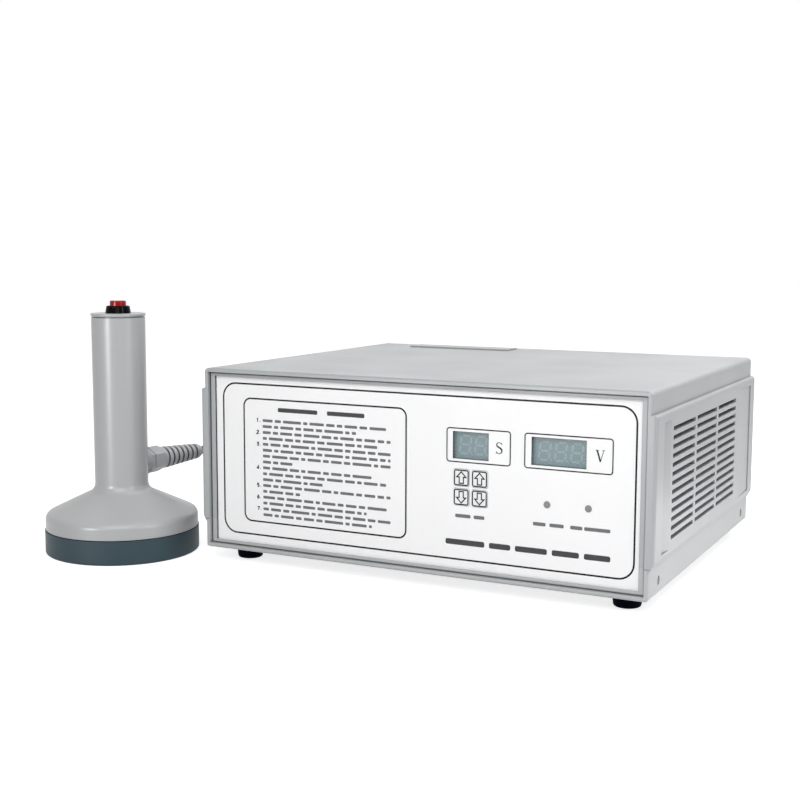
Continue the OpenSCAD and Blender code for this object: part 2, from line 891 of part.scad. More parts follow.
module bottom_tray() {
    color(shell_grey) difference() {
        union() {
            translate([0, 0, foot_h]) difference() {
                intersection() {
                    union() {
                        case_block();
                        side_panels();
                    }
                    mid_box(-cut, -cut, 2 * outer_w, case_d + 2 * cut, seam_h + cut);
                }
                case_room();
                seam_line();
            }
            power_post_places() translate([0, 0, floor_z - cut]) cylinder(r = post_r, h = post_h + cut);
            foot_places() translate([0, 0, floor_z - cut]) cylinder(r = foot_boss_r, h = foot_boss_h + cut);
        }
        side_screw_places() {
            translate([0, 0, -cut]) cylinder(r = screw_hole_r + gap, h = wall + 2 * cut);
            translate([0, 0, -cut]) cylinder(r = screw_head_r + gap, h = screw_sink_d + cut);
        }
        foot_places() translate([0, 0, foot_h - cut])
            cylinder(r = foot_screw_r + screw_gap, h = foot_screw_l + cut);
        power_post_places() translate([0, 0, floor_z]) cylinder(r = screw_hole_r, h = post_h + cut);
    }
}

// Fine line around the tray's upper edge
module seam_line() {
    difference() {
        mid_box(-cut, seam_h - seam_line_h, outer_w + 2 * cut, case_d + 2 * cut, seam_line_h + cut);
        mid_box(seam_line_d, seam_h - 2 * seam_line_h, outer_w - 2 * seam_line_d,
            case_d - 2 * seam_line_d, 3 * seam_line_h + cut);
    }
}

function arc(cx, cy, r, a0, a1, steps) = [
    for (i = [0 : steps]) let (a = a0 + (a1 - a0) * i / steps) [cx + r * cos(a), cy + r * sin(a)]
];

module feet() {
    low_r = foot_r - foot_taper;
    color(near_black) foot_places() rotate_extrude() polygon(concat(
        [[foot_well_r, 0]],
        arc(low_r - foot_edge_r, foot_edge_r, foot_edge_r, -90, 0, arc_steps),
        [[foot_r, foot_h], [foot_screw_r + gap, foot_h]],
        [[foot_screw_r + gap, foot_well_d], [foot_well_r, foot_well_d]]
    ));
}

module screw(r, len, head_r, head_h) {
    cylinder(r = r, h = len);
    translate([0, 0, -head_h]) difference() {
        cylinder(r = head_r, h = head_h);
        for (a = [0, 90]) rotate(a)
            box(-screw_cross_l / 2, -screw_cross_w / 2, -cut, screw_cross_l, screw_cross_w, cut + head_h / 2);
    }
}

module foot_screws() {
    color(steel) foot_places() translate([0, 0, foot_well_d])
        screw(foot_screw_r, foot_h - foot_well_d + foot_screw_l - cut, foot_head_r, foot_head_h);
}

module side_screws() {
    color(steel) side_screw_places() translate([0, 0, screw_sink_d])
        screw(screw_r, side_screw_l - screw_sink_d, screw_head_r, screw_head_h);
}

// Front panel plate or film with its openings
module panel_sheet(y, w, t) {
    difference() {
        mid_box(y, mid_z - plate_h / 2, w, t, plate_h);
        window_hole(time_window_x, time_window_w);
        window_hole(volt_window_x, volt_window_w);
        for (i = [0, 1], j = [0, 1]) key_place(i, j) along_y(plate_back + cut)
            round_rect(key_size + 2 * key_gap, key_size + 2 * key_gap, key_corner_r + key_gap);
        for (x = [heat_lamp_x, current_lamp_x]) translate([x, 0, lamp_z]) facing_rear()
            cylinder(r = lamp_r + screw_gap, h = plate_back + cut);
    }
}

module window_hole(x, w) {
    box(x - w / 2, 0, window_z - window_h / 2, w, plate_back + cut, window_h);
}

// Moves to the middle of a key: i counts to the right, j upwards
module key_place(i, j) {
    translate([keys_x + (i - 0.5) * key_pitch, 0, mid_z - keys_down + (j - 0.5) * key_pitch]) children();
}

module front_panel() {
    color(panel_white) panel_sheet(plate_y, plate_w, plate_t);
}

module panel_film() {
    color(panel_white) panel_sheet(film_y, film_w, film_t);
}

module pane(x, w) {
    face_y = film_y + pane_sink;
    color(display_teal) union() {
        box(x - w / 2 - pane_lap, plate_back, window_z - window_h / 2 - pane_lap,
            w + 2 * pane_lap, pane_t, window_h + 2 * pane_lap);
        box(x - w / 2 + gap, face_y, window_z - window_h / 2 + gap,
            w - 2 * gap, plate_back - face_y + cut, window_h - 2 * gap);
    }
}

module digit_display(x, w) {
    color(near_black) box(x - w / 2, board_y - display_t, window_z - window_h / 2, w, display_t, window_h);
}

module time_window() {
    pane(time_window_x, time_window_w);
}

module volt_window() {
    pane(volt_window_x, volt_window_w);
}

module time_display() {
    digit_display(time_window_x, time_window_w);
}

module volt_display() {
    digit_display(volt_window_x, volt_window_w);
}

module key(i, j) {
    wide = key_size + 2 * (key_gap + key_flange);
    flange_y = plate_back + gap;
    color(panel_white) key_place(i, j) {
        translate([0, key_face_y, 0]) along_y(flange_y - key_face_y)
            round_rect(key_size, key_size, key_corner_r);
        translate([0, flange_y, 0]) along_y(key_flange_t)
            square([min(wide, key_pitch - gap), min(wide, key_pitch - gap)], center = true);
        translate([0, flange_y, 0]) facing_rear() cylinder(r = key_stem_r, h = key_stem_end - flange_y);
    }
}

module key_tens_up() {
    key(0, 1);
}

module key_units_up() {
    key(1, 1);
}

module key_tens_down() {
    key(0, 0);
}

module key_units_down() {
    key(1, 0);
}

module key_switches() {
    color(near_black) for (i = [0, 1], j = [0, 1]) key_place(i, j) {
        box(-tact_size / 2, board_y - tact_t, -tact_size / 2, tact_size, tact_t, tact_size);
        translate([0, tact_tip_y, 0]) facing_rear() cylinder(r = tact_r, h = tact_plunger + cut);
    }
}

module lamp(x) {
    color(lamp_grey) translate([x, 0, lamp_z]) {
        translate([0, film_y - lamp_proud, 0]) facing_rear()
            cylinder(r = lamp_r, h = plate_back + lamp_flange_t - film_y + lamp_proud);
        translate([0, plate_back, 0]) facing_rear() cylinder(r = lamp_r + lamp_flange, h = lamp_flange_t);
        for (s = [-1, 1]) translate([s * lamp_leg_pitch / 2, plate_back, 0]) facing_rear()
            cylinder(r = lamp_leg_r, h = board_back);
    }
}

module heat_lamp() {
    lamp(heat_lamp_x);
}

module current_lamp() {
    lamp(current_lamp_x);
}

module spacer_places() {
    side = board_w / 2 - spacer_margin;
    rise = board_h / 2 - spacer_margin;
    for (x = [-side, side], z = [-rise, rise])
        translate([board_x + x, plate_back, board_z + z]) facing_rear() children();
}

module display_board() {
    color(board_green) difference() {
        box(board_x - board_w / 2, board_y, board_z - board_h / 2, board_w, board_t, board_h);
        spacer_places() cylinder(r = screw_hole_r, h = board_back + board_t + cut);
    }
}

// Studs on the back of the front panel, each with a shoulder and a nut behind the board
module board_spacers() {
    color(steel) spacer_places() {
        cylinder(r = spacer_r, h = board_back);
        cylinder(r = screw_r, h = board_back + board_t + stud_end);
        translate([0, 0, board_back + board_t]) cylinder(r = screw_head_r, h = stud_nut_t, $fn = 6);
    }
}

module alarm_buzzer() {
    color(near_black) translate([board_x, board_y + board_t, board_z]) facing_rear() difference() {
        cylinder(r = buzzer_r, h = buzzer_h);
        translate([0, 0, buzzer_h - cut]) cylinder(r = buzzer_hole_r, h = 2 * cut);
    }
}

module fan_place(y) {
    translate([fan_x, y, mid_z]) facing_rear() children();
}

module fan_screw_places(y) {
    for (x = [-1, 1], z = [-1, 1])
        translate([x * fan_pitch / 2, 0, z * fan_pitch / 2]) fan_place(y) children();
}

module rear_panel() {
    color(shell_grey) difference() {
        mid_box(rear_in, mid_z - plate_h / 2, plate_w, plate_t, plate_h);
        fan_place(rear_in - cut) cylinder(r = fan_open_r, h = plate_t + 2 * cut);
        fan_screw_places(rear_in - cut) cylinder(r = fan_screw_r + screw_gap, h = plate_t + 2 * cut);
        switch_box(rear_in - cut, plate_t + 2 * cut, switch_wall + gap);
        inlet_box(rear_in - cut, plate_t + 2 * cut, inlet_wall + gap);
        inlet_screw_places(rear_in - cut) cylinder(r = screw_hole_r, h = plate_t + 2 * cut);
        translate([fuse_x, rear_in - cut, fuse_z]) facing_rear()
            cylinder(r = fuse_body_r + gap, h = plate_t + 2 * cut);
        translate([rear_gland_x, rear_in - cut, rear_gland_z]) facing_rear()
            cylinder(r = gland_stem_r + stem_gap, h = plate_t + 2 * cut);
    }
}

module fan_frame() {
    color(near_black) difference() {
        union() {
            difference() {
                fan_place(fan_front) linear_extrude(fan_t) round_rect(fan_size, fan_size, fan_corner_r);
                fan_place(fan_front - cut) cylinder(r = fan_open_r, h = fan_t + 2 * cut);
            }
            fan_place(fan_front) cylinder(r = hub_r, h = motor_t);
            for (a = [45 : 90 : 315]) fan_place(fan_front) rotate(a)
                box(hub_r - cut, -strut_w / 2, 0, fan_open_r - hub_r + 2 * cut, strut_w, motor_t);
        }
        fan_place(fan_front - cut) cylinder(r = shaft_r + shaft_gap, h = motor_t + 2 * cut);
        fan_screw_places(fan_front - cut) cylinder(r = fan_hole_r, h = fan_t + 2 * cut);
    }
}

module fan_rotor() {
    hub_y = fan_front + motor_t + rotor_gap;
    reach = fan_open_r - blade_gap;
    color(near_black) {
        fan_place(fan_front) cylinder(r = shaft_r, h = motor_t + cut);
        fan_place(hub_y) cylinder(r = hub_r, h = rotor_t);
        intersection() {
            fan_place(hub_y) cylinder(r = reach, h = rotor_t);
            for (i = [0 : fan_blades - 1]) fan_place(hub_y + rotor_t / 2) rotate(i * 360 / fan_blades)
                rotate([blade_pitch, 0, 0])
                    box(hub_r - blade_root, -rotor_t, -blade_t / 2, fan_size / 2, 2 * rotor_t, blade_t);
        }
    }
}

// Round wire rings on two crossed wires with a flat eye at each screw
module fan_guard() {
    reach = fan_pitch / 2 * sqrt(2);
    color(steel) difference() {
        union() {
            for (i = [1 : guard_rings]) fan_place(rear_y + 2 * wire_r + wire_r / 2) rotate_extrude()
                translate([fan_open_r * i / guard_rings, 0]) circle(wire_r);
            for (a = [45, 135]) fan_place(rear_y + wire_r) rotate(a) rotate([0, 90, 0])
                translate([0, 0, -reach]) cylinder(r = wire_r, h = 2 * reach);
            fan_screw_places(rear_y) cylinder(r = fan_screw_head_r + guard_eye_w, h = guard_plate_t);
        }
        fan_screw_places(rear_y - cut) cylinder(r = fan_screw_r + screw_gap, h = 2 * wire_r + 2 * cut);
        fan_screw_places(rear_y + guard_plate_t) cylinder(r = fan_screw_head_r + gap, h = 3 * wire_r);
    }
}

module fan_screws() {
    shank_l = guard_plate_t + plate_t + fan_t - fan_screw_short;
    color(steel) fan_screw_places(rear_y + guard_plate_t) mirror([0, 0, 1])
        screw(fan_screw_r, shank_l, fan_screw_head_r, fan_screw_head_h);
}

// Rectangular box around the rocker's opening, grown by margin
module switch_box(y, d, margin) {
    w = switch_open_w + 2 * margin;
    h = switch_open_h + 2 * margin;
    box(switch_x - w / 2, y, switch_z - h / 2, w, d, h);
}

module switch_frame() {
    color(near_black) difference() {
        union() {
            switch_box(rear_y, switch_bezel_t, switch_wall + bezel_lap);
            switch_box(rear_y - switch_d, switch_d + cut, switch_wall);
        }
        switch_box(pivot_y - rocker_in - rocker_room, switch_d, 0);
        translate([switch_x, pivot_y, switch_z]) rotate([0, 90, 0])
            cylinder(r = pivot_r + pivot_gap, h = switch_open_w + 2 * (pin_reach + pin_end_gap),
                center = true);
    }
}

// Rocker drawn in its off position, lower half pressed in
module power_rocker() {
    color(near_black) translate([switch_x, pivot_y, switch_z]) rotate([-rocker_tilt, 0, 0]) {
        along_x(rocker_w) polygon([
            [-rocker_in, rocker_foot_in - rocker_h / 2], [rocker_out, -rocker_h / 2], [rocker_mid_out, 0],
            [rocker_out, rocker_h / 2], [-rocker_in, rocker_h / 2 - rocker_foot_in]
        ]);
        rotate([0, 90, 0]) cylinder(r = pivot_r, h = switch_open_w + 2 * pin_reach, center = true);
    }
}

module inlet_screw_places(y) {
    for (s = [-1, 1]) translate([inlet_x + s * inlet_pitch / 2, y, inlet_z]) facing_rear() children();
}

// Rectangular box around the inlet's socket, grown by margin
module inlet_box(y, d, margin) {
    w = socket_w + 2 * margin;
    h = socket_h + 2 * margin;
    box(inlet_x - w / 2, y, inlet_z - h / 2, w, d, h);
}

module mains_inlet() {
    color(near_black) difference() {
        union() {
            translate([inlet_x, rear_y, inlet_z]) along_y(inlet_flange_t)
                round_rect(inlet_flange_w, inlet_flange_h, inlet_corner_r);
            inlet_box(socket_y - inlet_floor_t, socket_d, inlet_wall);
        }
        translate([inlet_x, socket_y, inlet_z]) along_y(socket_d + cut)
            round_rect(socket_w, socket_h, socket_corner_r);
        inlet_pin_places(socket_y - inlet_floor_t - cut) along_y(inlet_floor_t + 2 * cut)
            square([pin_w + screw_gap, pin_h + screw_gap], center = true);
        inlet_screw_places(rear_y - cut) cylinder(r = screw_hole_r, h = inlet_flange_t + 2 * cut);
    }
}

module inlet_pin_places(y) {
    for (p = [[-pin_side, -pin_drop], [pin_side, -pin_drop], [0, pin_drop]])
        translate([inlet_x + p[0], y, inlet_z + p[1]]) children();
}

module inlet_pins() {
    behind = inlet_floor_t + pin_tail;
    color(steel) inlet_pin_places(socket_y - behind) along_y(pin_len + behind)
        square([pin_w, pin_h], center = true);
}

module inlet_screws() {
    color(steel) inlet_screw_places(rear_y + inlet_flange_t) mirror([0, 0, 1])
        screw(screw_r, inlet_flange_t + plate_t + inlet_screw_end, screw_head_r, screw_head_h);
}

module fuse_holder() {
    color(near_black) translate([fuse_x, rear_y, fuse_z]) facing_rear() difference() {
        union() {
            cylinder(r = fuse_flange_r, h = fuse_flange_t);
            translate([0, 0, -fuse_body_l]) cylinder(r = fuse_body_r, h = fuse_body_l + cut);
        }
        translate([0, 0, fuse_flange_t - fuse_bore_l - cut])
            cylinder(r = fuse_bore_r, h = fuse_bore_l + 2 * cut);
    }
}

module fuse_cap() {
    color(near_black) translate([fuse_x, rear_y + fuse_flange_t, fuse_z]) facing_rear() difference() {
        union() {
            translate([0, 0, gap]) cylinder(r = fuse_cap_r, h = fuse_cap_t);
            translate([0, 0, -fuse_stem_l]) cylinder(r = fuse_stem_r, h = fuse_stem_l + cut);
        }
        translate([0, 0, -fuse_stem_l - cut])
            cylinder(r = fuse_r + fuse_fit, h = fuse_stem_l - fuse_seat + cut);
        box(-fuse_cap_r - cut, -fuse_slot_w / 2, gap + fuse_cap_t - fuse_slot_d,
            2 * (fuse_cap_r + cut), fuse_slot_w, 2 * cut);
    }
}

module fuse_link() {
    color(steel) translate([fuse_x, rear_y + fuse_flange_t - fuse_seat, fuse_z]) facing_rear()
        translate([0, 0, -fuse_l]) cylinder(r = fuse_r, h = fuse_l);
}

// Threaded gland body pointing along +Z, its seat at Z = 0
module gland_body(stem_l) {
    color(lead_grey) difference() {
        union() {
            rotate(nut_turn) hexagon(gland_af, gland_hex_l - nut_seam_h);
            cylinder(r = gland_af / 2 - nut_seam_d, h = gland_hex_l);
            translate([0, 0, -stem_l]) cylinder(r = gland_stem_r, h = stem_l + cut);
        }
        translate([0, 0, -stem_l - cut]) cylinder(r = gland_bore_r, h = stem_l + gland_hex_l + 2 * cut);
    }
}

// Gland nut with ribbed strain relief, pointing along +Z from its foot at Z = 0
module gland_nut(ribs) {
    ribs_l = ribs * rib_pitch;
    ribs_z = nut_hex_l + nut_collar_l;
    tip_z = ribs_z + ribs_l;
    function crest(z) = rib_r + (tip_r - rib_r) * z / ribs_l;
    function rib(z) = [
        [crest(z) - rib_d, z], [crest(z) - rib_d, z + rib_groove],
        [crest(z) - rib_edge, z + rib_groove], [crest(z), z + rib_groove + rib_edge],
        [crest(z), z + rib_pitch - rib_edge], [crest(z) - rib_edge, z + rib_pitch]
    ];
    color(head_grey) difference() {
        union() {
            intersection() {
                rotate(nut_turn) hexagon(gland_af, nut_hex_l);
                cylinder(r1 = gland_corner_r + nut_hex_l, r2 = collar_r + nut_edge, h = nut_hex_l);
            }
            rotate_extrude() polygon(concat(
                [[0, nut_hex_l - cut], [collar_r, nut_hex_l - cut], [collar_r, nut_hex_l], [rib_r, ribs_z]],
                [for (i = [0 : ribs - 1], p = rib(i * rib_pitch)) [p[0], ribs_z + p[1]]],
                [[tip_r - tip_edge, tip_z + tip_l], [0, tip_z + tip_l]]
            ));
        }
        translate([0, 0, -cut]) cylinder(r = gland_bore_r, h = tip_z + cut);
    }
}

module rear_gland_place(t) {
    translate([rear_gland_x, rear_y + t, rear_gland_z]) facing_rear() children();
}

module rear_gland_body() {
    rear_gland_place(0) gland_body(rear_stem_l);
}

module rear_gland_nut() {
    rear_gland_place(gland_hex_l) gland_nut(rear_ribs);
}

module rear_gland_locknut() {
    color(lead_grey) rear_gland_place(-plate_t - locknut_t) difference() {
        hexagon(gland_af, locknut_t);
        translate([0, 0, -cut]) cylinder(r = gland_stem_r + stem_gap, h = locknut_t + 2 * cut);
    }
}

module power_board() {
    color(board_green) difference() {
        mid_box(power_front, power_z, power_w, power_d, board_t);
        power_post_places() translate([0, 0, power_z - cut])
            cylinder(r = screw_hole_r, h = board_t + 2 * cut);
    }
}

module power_screws() {
    color(steel) power_post_places() translate([0, 0, board_top]) mirror([0, 0, 1])
        screw(screw_r, board_t + post_h - power_screw_short, screw_head_r, screw_head_h);
}

module heat_sink() {
    fin_pitch = (sink_w - sink_fin_t) / (sink_fins - 1);
    color(steel) translate([sink_x - sink_w / 2, power_y - sink_d / 2, board_top]) {
        cube([sink_w, sink_d, sink_base_t]);
        for (i = [0 : sink_fins - 1]) box(i * fin_pitch, 0, 0, sink_fin_t, sink_d, sink_h);
    }
}

module power_transistors() {
    color(near_black) for (i = [-1.5 : 1.5])
        box(sink_x - sink_w / 2 - transistor_t, power_y + i * sink_d / 4 - transistor_w / 2, board_top,
            transistor_t, transistor_w, transistor_h);
}

module bus_capacitors() {
    color(near_black) for (i = [-1, 1])
        translate([cap_x + i * cap_spacing / 2, power_front + power_d - cap_r - cap_rear, board_top])
            cylinder(r = cap_r, h = cap_h);
}

module matching_transformer() {
    section_w = toroid_r - toroid_bore_r;
    toroid_y = power_front + toroid_r + toroid_front;
    color(copper) translate([toroid_x, toroid_y, board_top + toroid_h / 2]) rotate_extrude()
        translate([toroid_bore_r + section_w / 2, 0]) round_rect(section_w, toroid_h, toroid_edge_r);
}

// Half section of the housing's skin, set in by t from the outer face, from the rim up
function skin(t) =
    let (
        s_r = shoulder_r - t,
        n_r = neck_r + t,
        s_x = rim_r - shoulder_r,
        start = [s_x + s_r * sin(cone_slope), rim_z + s_r * cos(cone_slope)],
        run = (start[0] - tube_r - neck_r + n_r * sin(cone_slope)) / cos(cone_slope),
        n_z = start[1] + run * sin(cone_slope) + n_r * cos(cone_slope)
    )
    concat(
        [[rim_r - t, base_h]],
        arc(s_x, rim_z, s_r, 0, 90 - cone_slope, arc_steps),
        arc(tube_r + neck_r, n_z, n_r, 270 - cone_slope, 180, arc_steps),
        [[tube_r - t, tube_top]]
    );

function reversed(list) = [for (i = [len(list) - 1 : -1 : 0]) list[i]];

module head_place() {
    translate([head_x, head_y, 0]) rotate(head_turn) children();
}

// Moves to the gland's axis on the head, t along it from the handle's axis
module head_gland_place(t) {
    head_place() translate([0, t, head_gland_z]) facing_rear() children();
}

module head_housing() {
    color(head_grey) difference() {
        union() {
            head_place() rotate_extrude() polygon(concat(skin(0), reversed(skin(shell_t))));
            difference() {
                head_gland_place(0) cylinder(r = boss_r, h = gland_seat);
                head_place() translate([0, 0, base_h]) cylinder(r = tube_r - shell_t / 2, h = tube_top);
            }
        }
        head_gland_place(gland_seat - head_stem_l - cut)
            cylinder(r = gland_stem_r + stem_gap, h = head_stem_l + 2 * cut);
    }
}

module head_base() {
    in_r = base_r - base_wall;
    color(slate) head_place() rotate_extrude() polygon(concat(
        [[0, 0]],
        arc(base_r - base_edge_r, base_edge_r, base_edge_r, -90, 0, arc_steps),
        [[base_r, base_h], [in_r, base_h], [in_r, ledge_z], [in_r - ledge_w, ledge_z],
            [in_r - ledge_w, base_floor_t], [0, base_floor_t]]
    ));
}

module induction_coil() {
    color(copper) head_place() translate([0, 0, base_floor_t + coil_lift + coil_wire_r]) rotate_extrude()
        for (i = [0 : coil_turns - 1]) translate([coil_inner_r + i * coil_pitch, 0]) circle(coil_wire_r);
}

module coil_carrier() {
    color(board_green) head_place() translate([0, 0, ledge_z]) difference() {
        cylinder(r = base_r - base_wall - gap, h = carrier_t);
        translate([0, 0, -cut]) cylinder(r = carrier_hole_r, h = carrier_t + 2 * cut);
    }
}

module ferrite_bars() {
    color(near_black) for (i = [0 : ferrites - 1]) head_place() rotate(i * 360 / ferrites)
        box(ferrite_in, -ferrite_w / 2, ledge_z + carrier_t, ferrite_l, ferrite_w, ferrite_t);
}

module handle_cap() {
    skirt_r = tube_r - shell_t - cap_skirt_gap;
    rim = tube_r + cap_lap;
    seam_top = tube_top + cap_seam_h;
    color(head_grey) head_place() rotate_extrude() polygon([
        [barrel_r + barrel_gap, tube_top - cap_skirt / 2], [skirt_r - cap_skirt_t, tube_top - cap_skirt / 2],
        [skirt_r - cap_skirt_t, tube_top - cap_skirt], [skirt_r, tube_top - cap_skirt], [skirt_r, tube_top],
        [tube_r - cap_seam_d, tube_top], [tube_r - cap_seam_d, seam_top], [tube_r, seam_top],
        [rim, seam_top + cap_flare_h], [rim, cap_top - cap_edge], [rim - cap_edge, cap_top],
        [barrel_r + barrel_gap, cap_top]
    ]);
}

// Round bezel that narrows upwards, on a threaded barrel
module button_bezel() {
    barrel_z = cap_top - barrel_l;
    crown = bezel_r - bezel_taper;
    color(near_black) head_place() rotate_extrude() polygon(concat(
        [[0, barrel_z], [barrel_r, barrel_z], [barrel_r, cap_top], [bezel_r, cap_top]],
        arc(crown - bezel_edge_r, bezel_top - bezel_edge_r, bezel_edge_r, 0, 90, arc_steps),
        [[bore_r, bezel_top], [bore_r, barrel_z + barrel_floor], [0, barrel_z + barrel_floor]]
    ));
}

module button_locknut() {
    color(steel) head_place() translate([0, 0, tube_top - cap_skirt / 2 - button_locknut_t]) difference() {
        hexagon(2 * (barrel_r + button_locknut_rim), button_locknut_t);
        translate([0, 0, -cut]) cylinder(r = barrel_r + barrel_gap, h = button_locknut_t + 2 * cut);
    }
}

module trigger_button() {
    color(signal_red) head_place() rotate_extrude() polygon(concat(
        [[0, button_foot], [button_r, button_foot]],
        arc(button_r - button_edge_r, button_top - button_edge_r, button_edge_r, 0, 90, arc_steps),
        [[0, button_top]]
    ));
}

module head_gland_body() {
    head_gland_place(gland_seat) gland_body(head_stem_l);
}

module head_gland_nut() {
    head_gland_place(gland_seat + gland_hex_l) gland_nut(head_ribs);
}

// Tube along a list of points, with a ring of sides at each point
module swept_tube(route, r) {
    last = len(route) - 1;
    function unit(v) = v / norm(v);
    function heading(i) = unit(route[min(i + 1, last)] - route[max(i - 1, 0)]);
    function across(i) = unit(cross(heading(i), [0, 0, 1]));
    function ring(i) = [for (k = [0 : lead_sides - 1])
        route[i] + r * cos(k * 360 / lead_sides) * across(i)
        + r * sin(k * 360 / lead_sides) * cross(across(i), heading(i))];
    points = [for (i = [0 : last]) each ring(i)];
    walls = [for (i = [0 : last - 1], k = [0 : lead_sides - 1])
        let (a = i * lead_sides + k, b = i * lead_sides + (k + 1) % lead_sides)
        [a, b, b + lead_sides, a + lead_sides]];
    near_end = [for (k = [lead_sides - 1 : -1 : 0]) k];
    far_end = [for (k = [0 : lead_sides - 1]) last * lead_sides + k];
    polyhedron(points, concat([near_end], walls, [far_end]));
}

module head_lead() {
    color(lead_grey) swept_tube(head_route, lead_r);
}

module lead_tail() {
    color(lead_grey) swept_tube(tail_route, lead_r);
}

module lead_coil() {
    section_h = lead_coil_high - lead_coil_low;
    color(lead_grey) translate([lead_coil_x, lead_coil_y, (lead_coil_high + lead_coil_low) / 2])
        rotate_extrude() translate([coil_mid_r, 0]) round_rect(lead_dia, section_h, lead_r - coil_flat);
}

// Strap around the bundle of turns
module lead_tie() {
    room_w = lead_dia + 2 * gap;
    room_h = lead_coil_high - lead_coil_low + 2 * gap;
    color(near_black) translate([lead_coil_x, lead_coil_y, (lead_coil_high + lead_coil_low) / 2])
        rotate(tie_turn) translate([coil_mid_r, -tie_w / 2, 0]) along_y(tie_w) difference() {
            square([room_w + 2 * tie_t, room_h + 2 * tie_t], center = true);
            square([room_w, room_h], center = true);
        }
}

placed() top_cover();
placed() bottom_tray();
placed() feet();
placed() foot_screws();
placed() side_screws();
placed() front_panel();
placed() panel_film();
placed() time_window();
placed() volt_window();
placed() time_display();
placed() volt_display();
placed() key_tens_up();
placed() key_units_up();
placed() key_tens_down();
placed() key_units_down();
placed() key_switches();
placed() heat_lamp();
placed() current_lamp();
placed() display_board();
placed() board_spacers();
placed() alarm_buzzer();
placed() rear_panel();
placed() fan_frame();
placed() fan_rotor();
placed() fan_guard();
placed() fan_screws();
placed() switch_frame();
placed() power_rocker();
placed() mains_inlet();
placed() inlet_pins();
placed() inlet_screws();
placed() fuse_holder();
placed() fuse_cap();
placed() fuse_link();
placed() rear_gland_body();
placed() rear_gland_nut();
placed() rear_gland_locknut();
placed() power_board();
placed() power_screws();
placed() heat_sink();
placed() power_transistors();
placed() bus_capacitors();
placed() matching_transformer();
placed() head_housing();
placed() head_base();
placed() induction_coil();
placed() coil_carrier();
placed() ferrite_bars();
placed() handle_cap();
placed() button_bezel();
placed() button_locknut();
placed() trigger_button();
placed() head_gland_body();
placed() head_gland_nut();
placed() head_lead();
placed() lead_coil();
placed() lead_tail();
placed() lead_tie();
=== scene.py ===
import math

import bmesh
import bpy
from mathutils import Matrix, Vector


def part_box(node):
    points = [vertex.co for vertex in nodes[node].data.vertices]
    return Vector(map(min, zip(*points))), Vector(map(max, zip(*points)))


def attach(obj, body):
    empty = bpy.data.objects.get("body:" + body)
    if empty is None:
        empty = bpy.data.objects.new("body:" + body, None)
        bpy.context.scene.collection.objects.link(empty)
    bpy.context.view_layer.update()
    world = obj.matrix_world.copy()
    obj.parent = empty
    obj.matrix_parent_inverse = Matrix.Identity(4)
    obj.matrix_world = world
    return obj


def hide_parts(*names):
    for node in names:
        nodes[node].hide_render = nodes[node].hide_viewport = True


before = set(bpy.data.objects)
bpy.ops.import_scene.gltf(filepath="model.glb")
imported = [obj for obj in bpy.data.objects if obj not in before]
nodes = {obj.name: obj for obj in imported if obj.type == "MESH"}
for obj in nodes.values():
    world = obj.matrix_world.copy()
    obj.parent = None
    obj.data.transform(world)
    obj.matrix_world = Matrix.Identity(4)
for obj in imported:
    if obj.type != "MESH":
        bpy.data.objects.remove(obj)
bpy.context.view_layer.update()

ROOT = "sealer"
MM_PER_M = 1000

# Case frame: millimetres from the middle of the case's front edge at the standing surface

cover_low, cover_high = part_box("top_cover")
CASE_X = (cover_low.x + cover_high.x) / 2
CASE_Y = cover_low.y


def at(x, y, z):
    """Point of the case frame, in millimetres, as a point of the row frame in metres."""
    return Vector((CASE_X + x / MM_PER_M, CASE_Y + y / MM_PER_M, z / MM_PER_M))


def node_box(name):
    """Lowest and highest corners of a node at rest, in the case frame."""
    return [Vector((p.x - CASE_X, p.y - CASE_Y, p.z)) * MM_PER_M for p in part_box(name)]


# Camera: its place in the case frame, its sensor and lens in millimetres

CAMERA_AT = at(403.93, -806.69, 242.7)
CAMERA_YAW = math.radians(-27.0)
CAMERA_PITCH = math.radians(6.729)
CAMERA_ROLL = math.radians(-0.175)
SENSOR_WIDTH = 36
FOCAL_LENGTH = 57.71
CLIP_START_M = 0.05


def make_camera():
    data = bpy.data.cameras.new("camera")
    data.sensor_width = SENSOR_WIDTH
    data.lens = FOCAL_LENGTH
    data.clip_start = CLIP_START_M
    ahead = Vector((
        math.sin(CAMERA_YAW) * math.cos(CAMERA_PITCH),
        math.cos(CAMERA_YAW) * math.cos(CAMERA_PITCH),
        -math.sin(CAMERA_PITCH),
    ))
    right = Vector((math.cos(CAMERA_YAW), -math.sin(CAMERA_YAW), 0))
    down = ahead.cross(right)
    across = right * math.cos(CAMERA_ROLL) + down * math.sin(CAMERA_ROLL)
    down = down * math.cos(CAMERA_ROLL) - right * math.sin(CAMERA_ROLL)
    turn = Matrix((across, -down, -ahead)).transposed()
    camera = bpy.data.objects.new("camera", data)
    camera.matrix_world = Matrix.Translation(CAMERA_AT) @ turn.to_4x4()
    bpy.context.scene.collection.objects.link(camera)
    bpy.context.scene.camera = camera


make_camera()


# Materials

COARSE_DETAIL = 3
FINE_DETAIL = 2
COARSE_SHARE = 0.5
BUMP_STRENGTH = 0.5
EDGE_SAMPLES = 6
PAINTED_SHADE_FACTOR = 0.12
PAINTED_SHADE_RANGE = (0.25, 0.95)
PAINTED_SHADE_SAMPLES = 8
PANE_ALPHA = 0.2


def linear(rgb):
    """sRGB values from 0 to 255 as a linear colour."""
    out = []
    for value in rgb:
        v = value / 255
        out.append(v / 12.92 if v <= 0.04045 else ((v + 0.055) / 1.055) ** 2.4)
    return (*out, 1.0)


def shaded(colour, factor):
    """Linear colour made darker or lighter, to white at most."""
    return (*[min(1, c * factor) for c in colour[:3]], 1)


